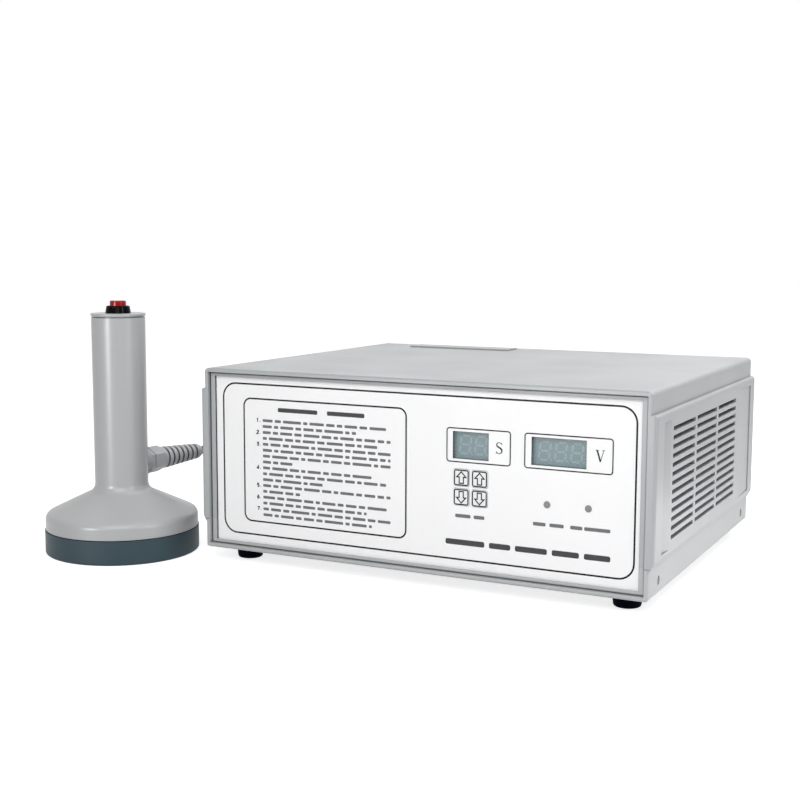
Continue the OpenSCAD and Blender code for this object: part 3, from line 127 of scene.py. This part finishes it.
def material(name, rgb, rough, grain, grain_depth=0.0, blotch=30, shade=0.04, rough_spread=0.06,
             metal=0.0, specular=0.5, edge=0.0, painted_shade=0.0, reach=0.004):
    """Procedural surface: two scales of noise vary its colour, the coarse one also its roughness,
    and the fine one its bump.

    An edge radius, in metres, softens the light on the corners of the mesh. Painted shade, from 0 to 1,
    darkens its grooves and inner corners within the reach, in metres: ambient occlusion painted into the
    colour.
    """
    mat = bpy.data.materials.new(name)
    mat.use_nodes = True
    tree = mat.node_tree
    tree.nodes.clear()
    out = tree.nodes.new("ShaderNodeOutputMaterial")
    shader = tree.nodes.new("ShaderNodeBsdfPrincipled")
    shader.inputs["Metallic"].default_value = metal
    shader.inputs["Specular IOR Level"].default_value = specular
    tree.links.new(shader.outputs["BSDF"], out.inputs["Surface"])
    place = tree.nodes.new("ShaderNodeTexCoord")

    def noise(scale, detail):
        node = tree.nodes.new("ShaderNodeTexNoise")
        node.inputs["Scale"].default_value = scale
        node.inputs["Detail"].default_value = detail
        tree.links.new(place.outputs["Object"], node.inputs["Vector"])
        return node.outputs["Fac"]

    def spread(source, low, high, start=0.3, stop=0.7):
        node = tree.nodes.new("ShaderNodeMapRange")
        node.inputs["From Min"].default_value = start
        node.inputs["From Max"].default_value = stop
        node.inputs["To Min"].default_value = low
        node.inputs["To Max"].default_value = high
        tree.links.new(source, node.inputs["Value"])
        return node.outputs["Result"]

    coarse = noise(blotch, COARSE_DETAIL)
    fine = noise(grain, FINE_DETAIL)
    colour = tree.nodes.new("ShaderNodeMix")
    colour.data_type = "RGBA"
    base = linear(rgb)
    colour.inputs["A"].default_value = shaded(base, 1 - shade)
    colour.inputs["B"].default_value = shaded(base, 1 + shade)
    both = tree.nodes.new("ShaderNodeMath")
    both.operation = "MULTIPLY_ADD"
    both.inputs[1].default_value = COARSE_SHARE
    tree.links.new(spread(coarse, 0, 1), both.inputs[0])
    tree.links.new(spread(fine, 0, 1 - COARSE_SHARE), both.inputs[2])
    tree.links.new(both.outputs["Value"], colour.inputs["Factor"])
    surface = colour.outputs["Result"]
    # Painted shade: the colour darkens where ambient occlusion finds grooves and inner corners
    if painted_shade:
        hollow = tree.nodes.new("ShaderNodeAmbientOcclusion")
        hollow.samples = PAINTED_SHADE_SAMPLES
        hollow.inputs["Distance"].default_value = reach
        shade_mix = tree.nodes.new("ShaderNodeMix")
        shade_mix.data_type = "RGBA"
        shade_mix.inputs["B"].default_value = shaded(base, PAINTED_SHADE_FACTOR)
        tree.links.new(spread(hollow.outputs["AO"], painted_shade, 0, *PAINTED_SHADE_RANGE), shade_mix.inputs["Factor"])
        tree.links.new(surface, shade_mix.inputs["A"])
        surface = shade_mix.outputs["Result"]
    tree.links.new(surface, shader.inputs["Base Color"])
    tree.links.new(spread(coarse, rough - rough_spread, rough + rough_spread), shader.inputs["Roughness"])
    normal = None
    if edge:
        corner = tree.nodes.new("ShaderNodeBevel")
        corner.samples = EDGE_SAMPLES
        corner.inputs["Radius"].default_value = edge
        normal = corner.outputs["Normal"]
    if grain_depth:
        bump = tree.nodes.new("ShaderNodeBump")
        bump.inputs["Strength"].default_value = BUMP_STRENGTH
        bump.inputs["Distance"].default_value = grain_depth
        tree.links.new(fine, bump.inputs["Height"])
        if normal:
            tree.links.new(normal, bump.inputs["Normal"])
        normal = bump.outputs["Normal"]
    if normal:
        tree.links.new(normal, shader.inputs["Normal"])
    return mat


def shader_of(mat):
    return next(n for n in mat.node_tree.nodes if n.type == "BSDF_PRINCIPLED")


def pane_material():
    """Tinted clear plastic in front of the digits."""
    mat = material("tinted_pane", (148, 169, 174), 0.2, grain=500, blotch=40, shade=0.03, rough_spread=0.03)
    shader_of(mat).inputs["Alpha"].default_value = PANE_ALPHA
    return mat


def seen_ray(tree):
    """One for rays that show the background: to the camera, off gloss or through glass."""
    path = tree.nodes.new("ShaderNodeLightPath")
    total = path.outputs["Is Camera Ray"]
    for name in ("Is Glossy Ray", "Is Transmission Ray"):
        either = tree.nodes.new("ShaderNodeMath")
        either.operation = "MAXIMUM"
        tree.links.new(total, either.inputs[0])
        tree.links.new(path.outputs[name], either.inputs[1])
        total = either.outputs["Value"]
    return total


# Looks that several materials share

# Case plastic: painted shade darkens its vents, notches and seams
CASE_LOOK = {
    "grain": 1800, "grain_depth": 0.00005, "blotch": 14, "shade": 0.025,
    "edge": 0.0006, "painted_shade": 0.8, "reach": 0.0018,
}
INK_LOOK = {"grain": 3000, "blotch": 300, "specular": 0.2}
GLOSS_LOOK = {"grain": 600, "rough_spread": 0.01}
DIGIT_LOOK = {"grain": 900, "blotch": 60, "shade": 0.03}

SHELL = material("shell_plastic", (168, 171, 173), 0.38, **CASE_LOOK)
TRAY = material("tray_plastic", (176, 178, 180), 0.42, **CASE_LOOK)
REAR = material("rear_plastic", (162, 163, 163), 0.5, grain=1800, grain_depth=0.00006, blotch=14, shade=0.03)
# Head plastic: painted shade darkens its seams and inner corners
HEAD = material("head_plastic", (177, 179, 180), 0.33, grain=700, grain_depth=0.00003, blotch=9, shade=0.012,
                rough_spread=0.004, specular=0.45, edge=0.0004, painted_shade=0.4, reach=0.002)
BASE = material("base_plastic", (56, 74, 82), 0.48, grain=900, grain_depth=0.00005, blotch=28, shade=0.06,
                rough_spread=0.03, specular=0.18, edge=0.0004)
FILM = material("white_film", (247, 247, 248), 0.5, grain=2600, grain_depth=0.00002, blotch=18, shade=0.012)
# Painted shade: the plate is dark so that the gap round the white film shows as a shadowed line
PLATE = material("dark_plate", (52, 53, 56), 0.55, grain=1500, grain_depth=0.00003, shade=0.08)
INK = material("print_ink", (14, 14, 17), 0.6, shade=0.12, **INK_LOOK)
GREY_INK = material("print_grey", (112, 112, 115), 0.6, shade=0.1, **INK_LOOK)
DARK_INK = material("print_dark", (64, 64, 67), 0.6, shade=0.1, **INK_LOOK)
KEY = material("key_white", (234, 235, 236), 0.45, grain=2200, grain_depth=0.00002, shade=0.015, edge=0.0005)
RUBBER = material("foot_rubber", (4, 6, 20), 0.6, grain=1200, grain_depth=0.00008, shade=0.15, specular=0.02)
BLACK = material("black_plastic", (28, 28, 30), 0.5, grain=1600, grain_depth=0.00006, shade=0.12)
BLACK_GLOSS = material("black_gloss", (3, 3, 4), 0.11, shade=0.1, specular=0.05, **GLOSS_LOOK)
RED = material("button_red", (166, 5, 9), 0.12, shade=0.05, specular=0.18, **GLOSS_LOOK)
STEEL = material("plated_steel", (188, 188, 190), 0.32, grain=2500, grain_depth=0.00003, shade=0.06,
                 metal=1.0)
BRIGHT = material("bright_wire", (206, 207, 210), 0.2, grain=2500, grain_depth=0.00002, shade=0.05, metal=1.0)
ALUMINIUM = material("aluminium", (190, 192, 195), 0.4, grain=1400, grain_depth=0.00004, shade=0.06,
                     metal=1.0)
COPPER = material("copper_wire", (176, 98, 52), 0.34, grain=1100, grain_depth=0.00005, shade=0.12, metal=0.9)
BOARD = material("solder_mask", (22, 88, 52), 0.38, grain=900, grain_depth=0.00004, shade=0.12)
FERRITE = material("ferrite", (40, 40, 43), 0.7, grain=1300, grain_depth=0.00008, shade=0.15)
# Gland nylon: painted shade makes the grooves between its ribs dark
GLAND = material("gland_nylon", (184, 186, 189), 0.36, grain=1500, grain_depth=0.00005, blotch=60, shade=0.05,
                 edge=0.0002, painted_shade=1.0, reach=0.006)
# Painted shade for the gap where the cone meets the base
JOINT_SHADE = material("joint_shadow", (24, 30, 34), 0.7, grain=900, blotch=60, shade=0.08, specular=0.1)
LEAD = material("lead_sheath", (58, 60, 62), 0.55, grain=1500, grain_depth=0.00005, blotch=60, shade=0.08)
DISPLAY = material("display_face", (121, 148, 154), 0.35, **DIGIT_LOOK)
GHOST = material("ghost_segment", (160, 184, 188), 0.35, **DIGIT_LOOK)
LAMP = material("lamp_lens", (115, 115, 116), 0.3, grain=800, shade=0.06)
PANE = pane_material()

FINISH = {
    "top_cover": SHELL, "bottom_tray": TRAY, "feet": RUBBER, "foot_screws": STEEL, "side_screws": STEEL,
    "front_panel": PLATE, "panel_film": FILM, "time_window": PANE, "volt_window": PANE,
    "time_display": DISPLAY, "volt_display": DISPLAY, "key_tens_up": KEY, "key_units_up": KEY,
    "key_tens_down": KEY, "key_units_down": KEY, "key_switches": BLACK, "heat_lamp": LAMP,
    "current_lamp": LAMP, "display_board": BOARD, "board_spacers": STEEL, "alarm_buzzer": BLACK,
    "rear_panel": REAR, "fan_frame": BLACK, "fan_rotor": BLACK, "fan_guard": BRIGHT, "fan_screws": STEEL,
    "switch_frame": BLACK, "power_rocker": BLACK, "mains_inlet": BLACK, "inlet_pins": BRIGHT,
    "inlet_screws": STEEL, "fuse_holder": BLACK, "fuse_cap": BLACK, "fuse_link": BRIGHT,
    "rear_gland_body": GLAND, "rear_gland_nut": GLAND, "rear_gland_locknut": GLAND,
    "power_board": BOARD, "power_screws": STEEL, "heat_sink": ALUMINIUM, "power_transistors": BLACK,
    "bus_capacitors": BLACK, "matching_transformer": COPPER, "head_housing": HEAD, "head_base": BASE,
    "induction_coil": COPPER, "coil_carrier": BOARD, "ferrite_bars": FERRITE, "handle_cap": HEAD,
    "button_bezel": BLACK_GLOSS, "button_locknut": STEEL, "trigger_button": RED,
    "head_gland_body": GLAND, "head_gland_nut": GLAND, "head_lead": LEAD, "lead_coil": LEAD,
    "lead_tail": LEAD, "lead_tie": BLACK,
}


def paint(obj, mat):
    obj.data.materials.clear()
    obj.data.materials.append(mat)


for name, finish in FINISH.items():
    paint(nodes[name], finish)


def piece(name, data, mat, body):
    """New object of the model, riding on a body."""
    obj = bpy.data.objects.new(name, data)
    bpy.context.scene.collection.objects.link(obj)
    paint(obj, mat)
    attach(obj, body)
    return obj


# Lead: out of the case's gland, round its coil behind the case, and forward to the head.
# Its diameter is in metres, and its route in the case frame.

LEAD_DIA = 0.007
LEAD_ROUNDNESS = 4
COIL_AT = (-133.5, 345.0)
COIL_R = 38.5
COIL_TOP = 24.4
COIL_LOW = 4.5
COIL_FROM = 180
COIL_SWEEP = 1020
TAIL_ROUTE = [
    (-95, 332.3, 46), (-95, 345, 45.2), (-98.6, 361.3, 42.8), (-108.8, 374.5, 38.8), (-123.5, 382.2, 34.4),
    (-140.2, 382.9, 30.4), (-155.6, 376.5, 27.2), (-166.8, 364.3, 25),
]
HEAD_ROUTE = [
    (-170, 367, 4.1), (-185.8, 354.5, 3.9), (-199, 339.5, 3.7), (-209, 322, 3.6), (-216, 303, 3.6),
    (-220.4, 283, 3.6), (-223, 263, 3.6), (-225.6, 243, 3.8), (-228.6, 224, 5.6), (-232, 206, 11),
    (-235.5, 189, 20.4), (-238.8, 173, 32.2), (-241.8, 157, 45.2), (-244.6, 141, 56.6), (-247.2, 124, 64.4),
    (-249.2, 107, 67.9), (-250.67, 93.2, 68.5),
]


def coil_points(step=15):
    """Coil from its top to the surface, with a point every so many degrees."""
    out = []
    for k in range(COIL_SWEEP // step + 1):
        turn = math.radians(COIL_FROM + k * step)
        drop = k * step / COIL_SWEEP
        out.append((
            COIL_AT[0] + COIL_R * math.cos(turn),
            COIL_AT[1] + COIL_R * math.sin(turn),
            COIL_TOP + (COIL_LOW - COIL_TOP) * drop,
        ))
    return out


def smooth_line(points, per_span=4):
    """Centripetal curve through all points, as a list of more closely set points."""
    pts = [Vector(p) for p in points]
    pts = [2 * pts[0] - pts[1]] + pts + [2 * pts[-1] - pts[-2]]
    out = []
    for i in range(1, len(pts) - 2):
        p0, p1, p2, p3 = pts[i - 1:i + 3]
        t1 = (p1 - p0).length ** 0.5
        t2 = t1 + (p2 - p1).length ** 0.5
        t3 = t2 + (p3 - p2).length ** 0.5
        for k in range(per_span):
            t = t1 + (t2 - t1) * k / per_span
            a1 = p0 * ((t1 - t) / t1) + p1 * (t / t1)
            a2 = p1 * ((t2 - t) / (t2 - t1)) + p2 * ((t - t1) / (t2 - t1))
            a3 = p2 * ((t3 - t) / (t3 - t2)) + p3 * ((t - t2) / (t3 - t2))
            b1 = a1 * ((t2 - t) / t2) + a2 * (t / t2)
            b2 = a2 * ((t3 - t) / (t3 - t1)) + a3 * ((t - t1) / (t3 - t1))
            out.append(b1 * ((t2 - t) / (t2 - t1)) + b2 * ((t - t1) / (t2 - t1)))
    out.append(pts[-2])
    return out


def make_lead():
    line = [at(*p) for p in smooth_line(TAIL_ROUTE + coil_points() + HEAD_ROUTE)]
    data = bpy.data.curves.new("lead", "CURVE")
    data.dimensions = "3D"
    data.bevel_depth = LEAD_DIA / 2
    data.bevel_resolution = LEAD_ROUNDNESS
    data.use_fill_caps = True
    spline = data.splines.new("POLY")
    spline.points.add(len(line) - 1)
    for point, co in zip(spline.points, line):
        point.co = (*co, 1)
    spline.use_smooth = True
    lead = piece("lead", data, LEAD, ROOT)
    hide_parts("head_lead", "lead_coil", "lead_tail")


make_lead()


# Flat print: shapes in X and Z of the case frame, laid just in front of a face at y

PRINT_LIFT = 0.04
MITRE_LIMIT = 0.35
BAR_ROUND = 0.3
SMALL_STEPS = 3


def round_outline(x0, z0, x1, z1, radius, steps=8):
    out = []
    for cx, cz, start in (
        (x1 - radius, z1 - radius, 0), (x0 + radius, z1 - radius, 90),
        (x0 + radius, z0 + radius, 180), (x1 - radius, z0 + radius, 270),
    ):
        for k in range(steps + 1):
            a = math.radians(start + 90 * k / steps)
            out.append((cx + radius * math.cos(a), cz + radius * math.sin(a)))
    return out


class Print:
    """Collects flat shapes for one printed mesh."""

    def __init__(self, y):
        self.mesh = bmesh.new()
        self.y = y - PRINT_LIFT

    def corner(self, x, z):
        return self.mesh.verts.new(at(x, self.y, z))

    def face(self, corners):
        """One face, turned to the front."""
        face = self.mesh.faces.new(corners)
        face.normal_update()
        if face.normal.y > 0:
            face.normal_flip()

    def fill(self, outline):
        self.face([self.corner(x, z) for x, z in outline])

    def strip(self, left, right, closed):
        a = [self.corner(x, z) for x, z in left]
        b = [self.corner(x, z) for x, z in right]
        count = len(a) if closed else len(a) - 1
        for i in range(count):
            j = (i + 1) % len(a)
            self.face((a[i], a[j], b[j], b[i]))

    def stroke(self, points, width, closed=False):
        """Line of one width, or a list of widths, along points with mitred corners."""
        n = len(points)
        widths = width if isinstance(width, list) else [width] * n
        left, right = [], []
        for i, (x, z) in enumerate(points):
            before = points[i - 1] if closed or i else None
            after = points[(i + 1) % n] if closed or i < n - 1 else None
            heads = []
            if before:
                heads.append(Vector((x - before[0], z - before[1])).normalized())
            if after:
                heads.append(Vector((after[0] - x, after[1] - z)).normalized())
            mean = (heads[0] + heads[-1]).normalized()
            side = Vector((-mean.y, mean.x)) / max(MITRE_LIMIT, mean.dot(heads[0])) * widths[i] / 2
            left.append((x + side.x, z + side.y))
            right.append((x - side.x, z - side.y))
        self.strip(left, right, closed)

    def border(self, x0, z0, x1, z1, radius, width):
        self.stroke(round_outline(x0, z0, x1, z1, radius), width, closed=True)

    def bar(self, x0, z0, x1, z1):
        self.fill(round_outline(x0, z0, x1, z1, (z1 - z0) * BAR_ROUND, SMALL_STEPS))

    def bars(self, spans, heights):
        """Row of bars between two heights, one for each span in X."""
        low, high = heights
        for x0, x1 in spans:
            self.bar(x0, low, x1, high)

    def done(self, name, mat, body):
        data = bpy.data.meshes.new(name)
        self.mesh.to_mesh(data)
        self.mesh.free()
        return piece(name, data, mat, body)


# Panel print: ruled frames, each with its left, low, right, top, corner radius and line width

PANEL_FRAMES = [
    (-162, 24.2, 164.8, 140.3, 11, 1.3),
    (-143.3, 34.7, -4.7, 129.3, 6, 1.25),
    (27.6, 94.1, 75.6, 117.9, 2, 0.9),
    (86.3, 94.1, 148.8, 117.9, 2, 0.9),
]

# Numbered list on the panel: strokes of the numerals in a unit box, then lines of word-length bars

NUMERALS = [
    [(0.2, 0.75), (0.5, 1), (0.5, 0)],
    [(0.05, 0.78), (0.3, 1), (0.75, 0.98), (0.9, 0.7), (0.05, 0), (0.95, 0)],
    [(0.08, 0.95), (0.85, 0.95), (0.4, 0.58), (0.8, 0.5), (0.9, 0.2), (0.6, 0), (0.08, 0.08)],
    [(0.72, 0), (0.72, 1), (0.05, 0.3), (0.98, 0.3)],
    [(0.88, 1), (0.2, 1), (0.12, 0.58), (0.6, 0.62), (0.9, 0.35), (0.7, 0.03), (0.1, 0.06)],
    [(0.8, 0.97), (0.4, 0.9), (0.1, 0.4), (0.3, 0), (0.75, 0.02), (0.9, 0.35), (0.6, 0.58), (0.15, 0.42)],
    [(0.06, 0.98), (0.94, 0.98), (0.4, 0)],
]
ITEM_LINES = [2, 2, 4, 3, 2, 2, 2]
NUMERAL_LEFT = -132
NUMERAL_W = 1.9
NUMERAL_H = 2.5
NUMERAL_LINE = 0.8
STOP_LEFT = -129.2
STOP_SIZE = 0.6
STOP_R = 0.25
LINE_TOP = 113.0
LINE_PITCH = 4.535
LINE_H = 2.1
TEXT_LEFT = -126.6
TEXT_RIGHT = -17.2
WORD_LENGTHS = [9.0, 5.4, 15.8, 3.6, 12.4, 7.2, 4.6, 10.6, 6.4, 13.6, 8.2, 3.8, 11.4, 5.0]
WORD_GAP = 1.9
SHORTEST_WORD = 2
LINE_ENDS = [1.0, 0.74, 1.0, 0.9, 1.0, 1.0, 1.0, 0.26, 0.86, 1.0, 0.48, 1.0, 0.3, 1.0, 0.82, 1.0, 0.86]

# Bars in place of the heading, the captions and the name: spans in X, then the low and high edge

HEADING = [(-112.9, -78.4), (-70.2, -38.7)]
HEADING_Z = (120.2, 123.4)
CAPTIONS = [(34.4, 46.2), (48.6, 56.8), (93, 102.2), (105, 115.3), (119.9, 128.6), (129.8, 148.1)]
CAPTIONS_Z = (54.4, 56.9)
NAME = [(27, 57), (60.5, 76.5), (80, 103.5), (107, 126.5), (130, 148.5)]
NAME_Z = (34.6, 38.6)

# Unit marks beside the displays: an S as points with widths, and straight strokes with a width each

SECONDS_X = 67.3
VOLTS_X = 140.1
UNITS_Z = 106.0
S_CURVE = [
    (2.0, 2.6, 0.5), (1.3, 3.5, 0.5), (0.1, 3.9, 0.5), (-1.2, 3.6, 0.6), (-1.9, 2.6, 0.8), (-1.6, 1.5, 1.0),
    (-0.5, 0.7, 1.15), (0.8, 0.0, 1.2), (1.9, -0.9, 1.1), (2.1, -2.2, 0.9), (1.4, -3.4, 0.6),
    (0.0, -3.9, 0.5), (-1.3, -3.6, 0.5), (-2.1, -2.5, 0.5),
]
S_SERIFS = [
    ((2.05, 2.7), (2.05, 3.9), 0.4),
    ((-2.1, -2.7), (-2.1, -3.9), 0.4),
]
V_STROKES = [
    ((-2.3, 3.8), (0.1, -3.9), 1.15),
    ((0.1, -3.9), (2.3, 3.8), 0.5),
    ((-3.5, 3.85), (-1.1, 3.85), 0.4),
    ((1.3, 3.85), (3.3, 3.85), 0.4),
]


def text_line(sheet, x1, z, first):
    """Row of plain word-length bars, to x1 at most. Gives the number of the next word."""
    x = TEXT_LEFT
    word = first
    while x < x1 - SHORTEST_WORD:
        end = min(x + WORD_LENGTHS[word % len(WORD_LENGTHS)], x1)
        sheet.bar(x, z - LINE_H / 2, end, z + LINE_H / 2)
        x = end + WORD_GAP
        word += 1
    return word


def numbered_list(sheet, rows):
    """Numerals and stops on one sheet, and the lines of each item on the other."""
    line = 0
    word = 0
    for numeral, count in zip(NUMERALS, ITEM_LINES):
        low = LINE_TOP - line * LINE_PITCH - NUMERAL_H / 2
        shape = [(NUMERAL_LEFT + NUMERAL_W * x, low + NUMERAL_H * h) for x, h in numeral]
        sheet.stroke(shape, NUMERAL_LINE)
        stop = (STOP_LEFT, low, STOP_LEFT + STOP_SIZE, low + STOP_SIZE)
        sheet.fill(round_outline(*stop, STOP_R, SMALL_STEPS))
        for _ in range(count):
            right = TEXT_LEFT + (TEXT_RIGHT - TEXT_LEFT) * LINE_ENDS[line]
            word = text_line(rows, right, LINE_TOP - line * LINE_PITCH, word)
            line += 1


def unit_marks(sheet):
    """Seconds and volts beside the displays."""
    curve = [(SECONDS_X + x, UNITS_Z + h) for x, h, _ in S_CURVE]
    sheet.stroke(curve, [width for _, _, width in S_CURVE])
    for middle, strokes in ((SECONDS_X, S_SERIFS), (VOLTS_X, V_STROKES)):
        for start, end, width in strokes:
            sheet.stroke([(middle + x, UNITS_Z + h) for x, h in (start, end)], width)


def make_panel_print():
    film_front = node_box("panel_film")[0].y
    sheet = Print(film_front)
    rows = Print(film_front)
    titles = Print(film_front)
    for ruled in PANEL_FRAMES:
        sheet.border(*ruled)
    numbered_list(sheet, rows)
    titles.bars(HEADING, HEADING_Z)
    rows.bars(CAPTIONS, CAPTIONS_Z)
    titles.bars(NAME, NAME_Z)
    unit_marks(sheet)
    sheet.done("panel_print", INK, ROOT)
    rows.done("panel_rows", GREY_INK, ROOT)
    titles.done("panel_titles", DARK_INK, ROOT)


make_panel_print()


# Keys: rounded outline and hollow arrow on each cap

KEY_SIZE = 12.0
KEY_INSET = 0.75
KEY_CORNER = 1.2
KEY_LINE = 0.95
ARROW_LINE = 0.85
ARROW = [(-1.6, -4.0), (1.6, -4.0), (1.6, 0.4), (3.5, 0.4), (0, 4.2), (-3.5, 0.4), (-1.6, 0.4)]


def make_key_print(place, way):
    low, high = node_box(f"key_{place}_{way}")
    middle = (low + high) / 2
    sheet = Print(low.y)
    edge = KEY_SIZE / 2 - KEY_INSET
    sheet.border(middle.x - edge, middle.z - edge, middle.x + edge, middle.z + edge, KEY_CORNER, KEY_LINE)
    flip = 1 if way == "up" else -1
    sheet.stroke([(middle.x + x, middle.z + flip * z) for x, z in ARROW], ARROW_LINE, closed=True)
    sheet.done(f"print_{place}_{way}", INK, f"{place}_{way}_key")


for way in ("up", "down"):
    for place in ("tens", "units"):
        make_key_print(place, way)


# Displays: faint unlit segments on the display faces

DIGIT_W = 7.4
DIGIT_H = 12.6
DIGIT_PITCH = 11.6
SLANT = 0.13
SEGMENT_W = 1.5
LEVEL_TIP = 0.7
LEVEL_SHOULDER = 1.5
UPRIGHT_GAP = 0.5
UPRIGHT_TAPER = 0.8
DOT_GAP = 1.1
DOT_SIZE = 1.4
DOT_R = 0.65
DOT_STEPS = 4


def digit_outlines():
    """Three level segments, four upright ones and the point of a digit, around its middle."""
    wide = DIGIT_W / 2
    half = DIGIT_H / 2
    bar = SEGMENT_W / 2
    tip = wide - LEVEL_TIP
    neck = wide - LEVEL_SHOULDER
    out = []
    for z in (-half, 0, half):
        top = z + bar
        low = z - bar
        out.append([(-tip, z), (-neck, top), (neck, top), (tip, z), (neck, low), (-neck, low)])
    for x in (-wide, wide):
        for z0, z1 in ((UPRIGHT_GAP, half - UPRIGHT_GAP), (UPRIGHT_GAP - half, -UPRIGHT_GAP)):
            low = z0 + UPRIGHT_TAPER
            high = z1 - UPRIGHT_TAPER
            out.append([(x, z0), (x + bar, low), (x + bar, high), (x, z1), (x - bar, high), (x - bar, low)])
    dot_x = wide + DOT_GAP
    dot_z = -half - DOT_SIZE / 2
    out.append(round_outline(dot_x, dot_z, dot_x + DOT_SIZE, dot_z + DOT_SIZE, DOT_R, DOT_STEPS))
    return out


def make_segments(name, display, digits):
    low, high = node_box(display)
    middle = (low + high) / 2
    sheet = Print(low.y)
    for d in range(digits):
        digit_x = middle.x + (d - (digits - 1) / 2) * DIGIT_PITCH
        for outline in digit_outlines():
            sheet.fill([(digit_x + x + SLANT * z, middle.z + z) for x, z in outline])
    sheet.done(name, GHOST, ROOT)


make_segments("time_segments", "time_display", 2)
make_segments("volt_segments", "volt_display", 3)


# Head: painted shade of the joint gap, a dark band on the cone's rim just above the base cup

JOINT_R = 60.44
JOINT_GAP = 0.02
JOINT_H = 0.63


def make_joint_shade_band(steps=128):
    base_low, base_high = node_box("head_base")
    middle = (base_low + base_high) / 2
    low_z = base_high.z + JOINT_GAP
    ring = bmesh.new()
    low, high = [], []
    for k in range(steps):
        turn = math.tau * k / steps
        x = middle.x + JOINT_R * math.cos(turn)
        y = middle.y + JOINT_R * math.sin(turn)
        low.append(ring.verts.new(at(x, y, low_z)))
        high.append(ring.verts.new(at(x, y, low_z + JOINT_H)))
    for k in range(steps):
        j = (k + 1) % steps
        ring.faces.new((low[k], low[j], high[j], high[k]))
    data = bpy.data.meshes.new("base_joint_shade_band")
    ring.to_mesh(data)
    ring.free()
    piece("base_joint_shade_band", data, JOINT_SHADE, ROOT)


make_joint_shade_band()


# Stage and light: places in metres, powers in watts

FLOOR_HALF = 6.0
FLOOR_LIFT = 0.76
AMBIENT = 0.3
BACKGROUND = 1.0


def make_floor():
    """Pale floor, lifted to white where it is seen, so that only the object's shadow shows."""
    h = FLOOR_HALF
    data = bpy.data.meshes.new("floor")
    data.from_pydata([(-h, -h, 0), (h, -h, 0), (h, h, 0), (-h, h, 0)], [], [(0, 1, 2, 3)])
    floor = bpy.data.objects.new("floor", data)
    bpy.context.scene.collection.objects.link(floor)
    mat = material("floor_white", (212, 212, 212), 0.8, grain=40, blotch=3, shade=0.004, specular=0.1)
    tree = mat.node_tree
    shader = shader_of(mat)
    shader.inputs["Emission Color"].default_value = (1, 1, 1, 1)
    lift = tree.nodes.new("ShaderNodeMath")
    lift.operation = "MULTIPLY"
    lift.inputs[1].default_value = FLOOR_LIFT
    tree.links.new(seen_ray(tree), lift.inputs[0])
    tree.links.new(lift.outputs["Value"], shader.inputs["Emission Strength"])
    paint(floor, mat)


def make_world():
    """White background, and a weaker white light from all round on the object."""
    world = bpy.data.worlds.new("studio")
    bpy.context.scene.world = world
    world.use_nodes = True
    tree = world.node_tree
    tree.nodes.clear()
    out = tree.nodes.new("ShaderNodeOutputWorld")
    sky = tree.nodes.new("ShaderNodeBackground")
    sky.inputs["Color"].default_value = (1, 1, 1, 1)
    level = tree.nodes.new("ShaderNodeMapRange")
    level.inputs["To Min"].default_value = AMBIENT
    level.inputs["To Max"].default_value = BACKGROUND
    tree.links.new(seen_ray(tree), level.inputs["Value"])
    tree.links.new(level.outputs["Result"], sky.inputs["Strength"])
    tree.links.new(sky.outputs["Background"], out.inputs["Surface"])


def make_light(name, place, aim, size, power, gloss_only=False):
    data = bpy.data.lights.new(name, "AREA")
    data.shape = "RECTANGLE"
    data.size, data.size_y = size
    data.energy = power
    light = bpy.data.objects.new(name, data)
    light.location = place
    light.rotation_euler = (Vector(aim) - Vector(place)).to_track_quat("-Z", "Y").to_euler()
    light.visible_diffuse = not gloss_only
    bpy.context.scene.collection.objects.link(light)


make_floor()
make_world()
make_light("key", place=(0.45, -1.15, 0.93), aim=(0.05, -0.1, 0.1), size=(1.0, 0.8), power=13)
make_light("fill", place=(2.2, -0.6, 0.9), aim=(0, 0, 0.08), size=(1.4, 0.8), power=0.3)
make_light("kick", place=(0.36, 0.02, 0.015), aim=(0.25, 0.02, 0.03), size=(0.4, 0.02), power=0.11)
make_light("top", place=(0.62, 0.58, 1.78), aim=(0.07, 0.03, 0.12), size=(1.3, 1.3), power=11.5)
make_light("front_strip", place=(-0.42, -1.75, 0.22), aim=(-0.19, -0.12, 0.1), size=(0.3, 0.44), power=17,
           gloss_only=True)
make_light("back", place=(0.5, 1.9, 1.0), aim=(0.1, 0, 0.15), size=(1.8, 0.4), power=4)
make_light("rim_strip", place=(-0.3, 2.2, 0.7), aim=(0.1, 0, 0.15), size=(2.4, 0.6), power=1.4,
           gloss_only=True)
make_light("side_strip", place=(1.5, -0.34, 0.6), aim=(-0.19, -0.12, 0.17), size=(0.14, 1.1), power=10,
           gloss_only=True)
bpy.context.scene.view_settings.view_transform = "Standard"
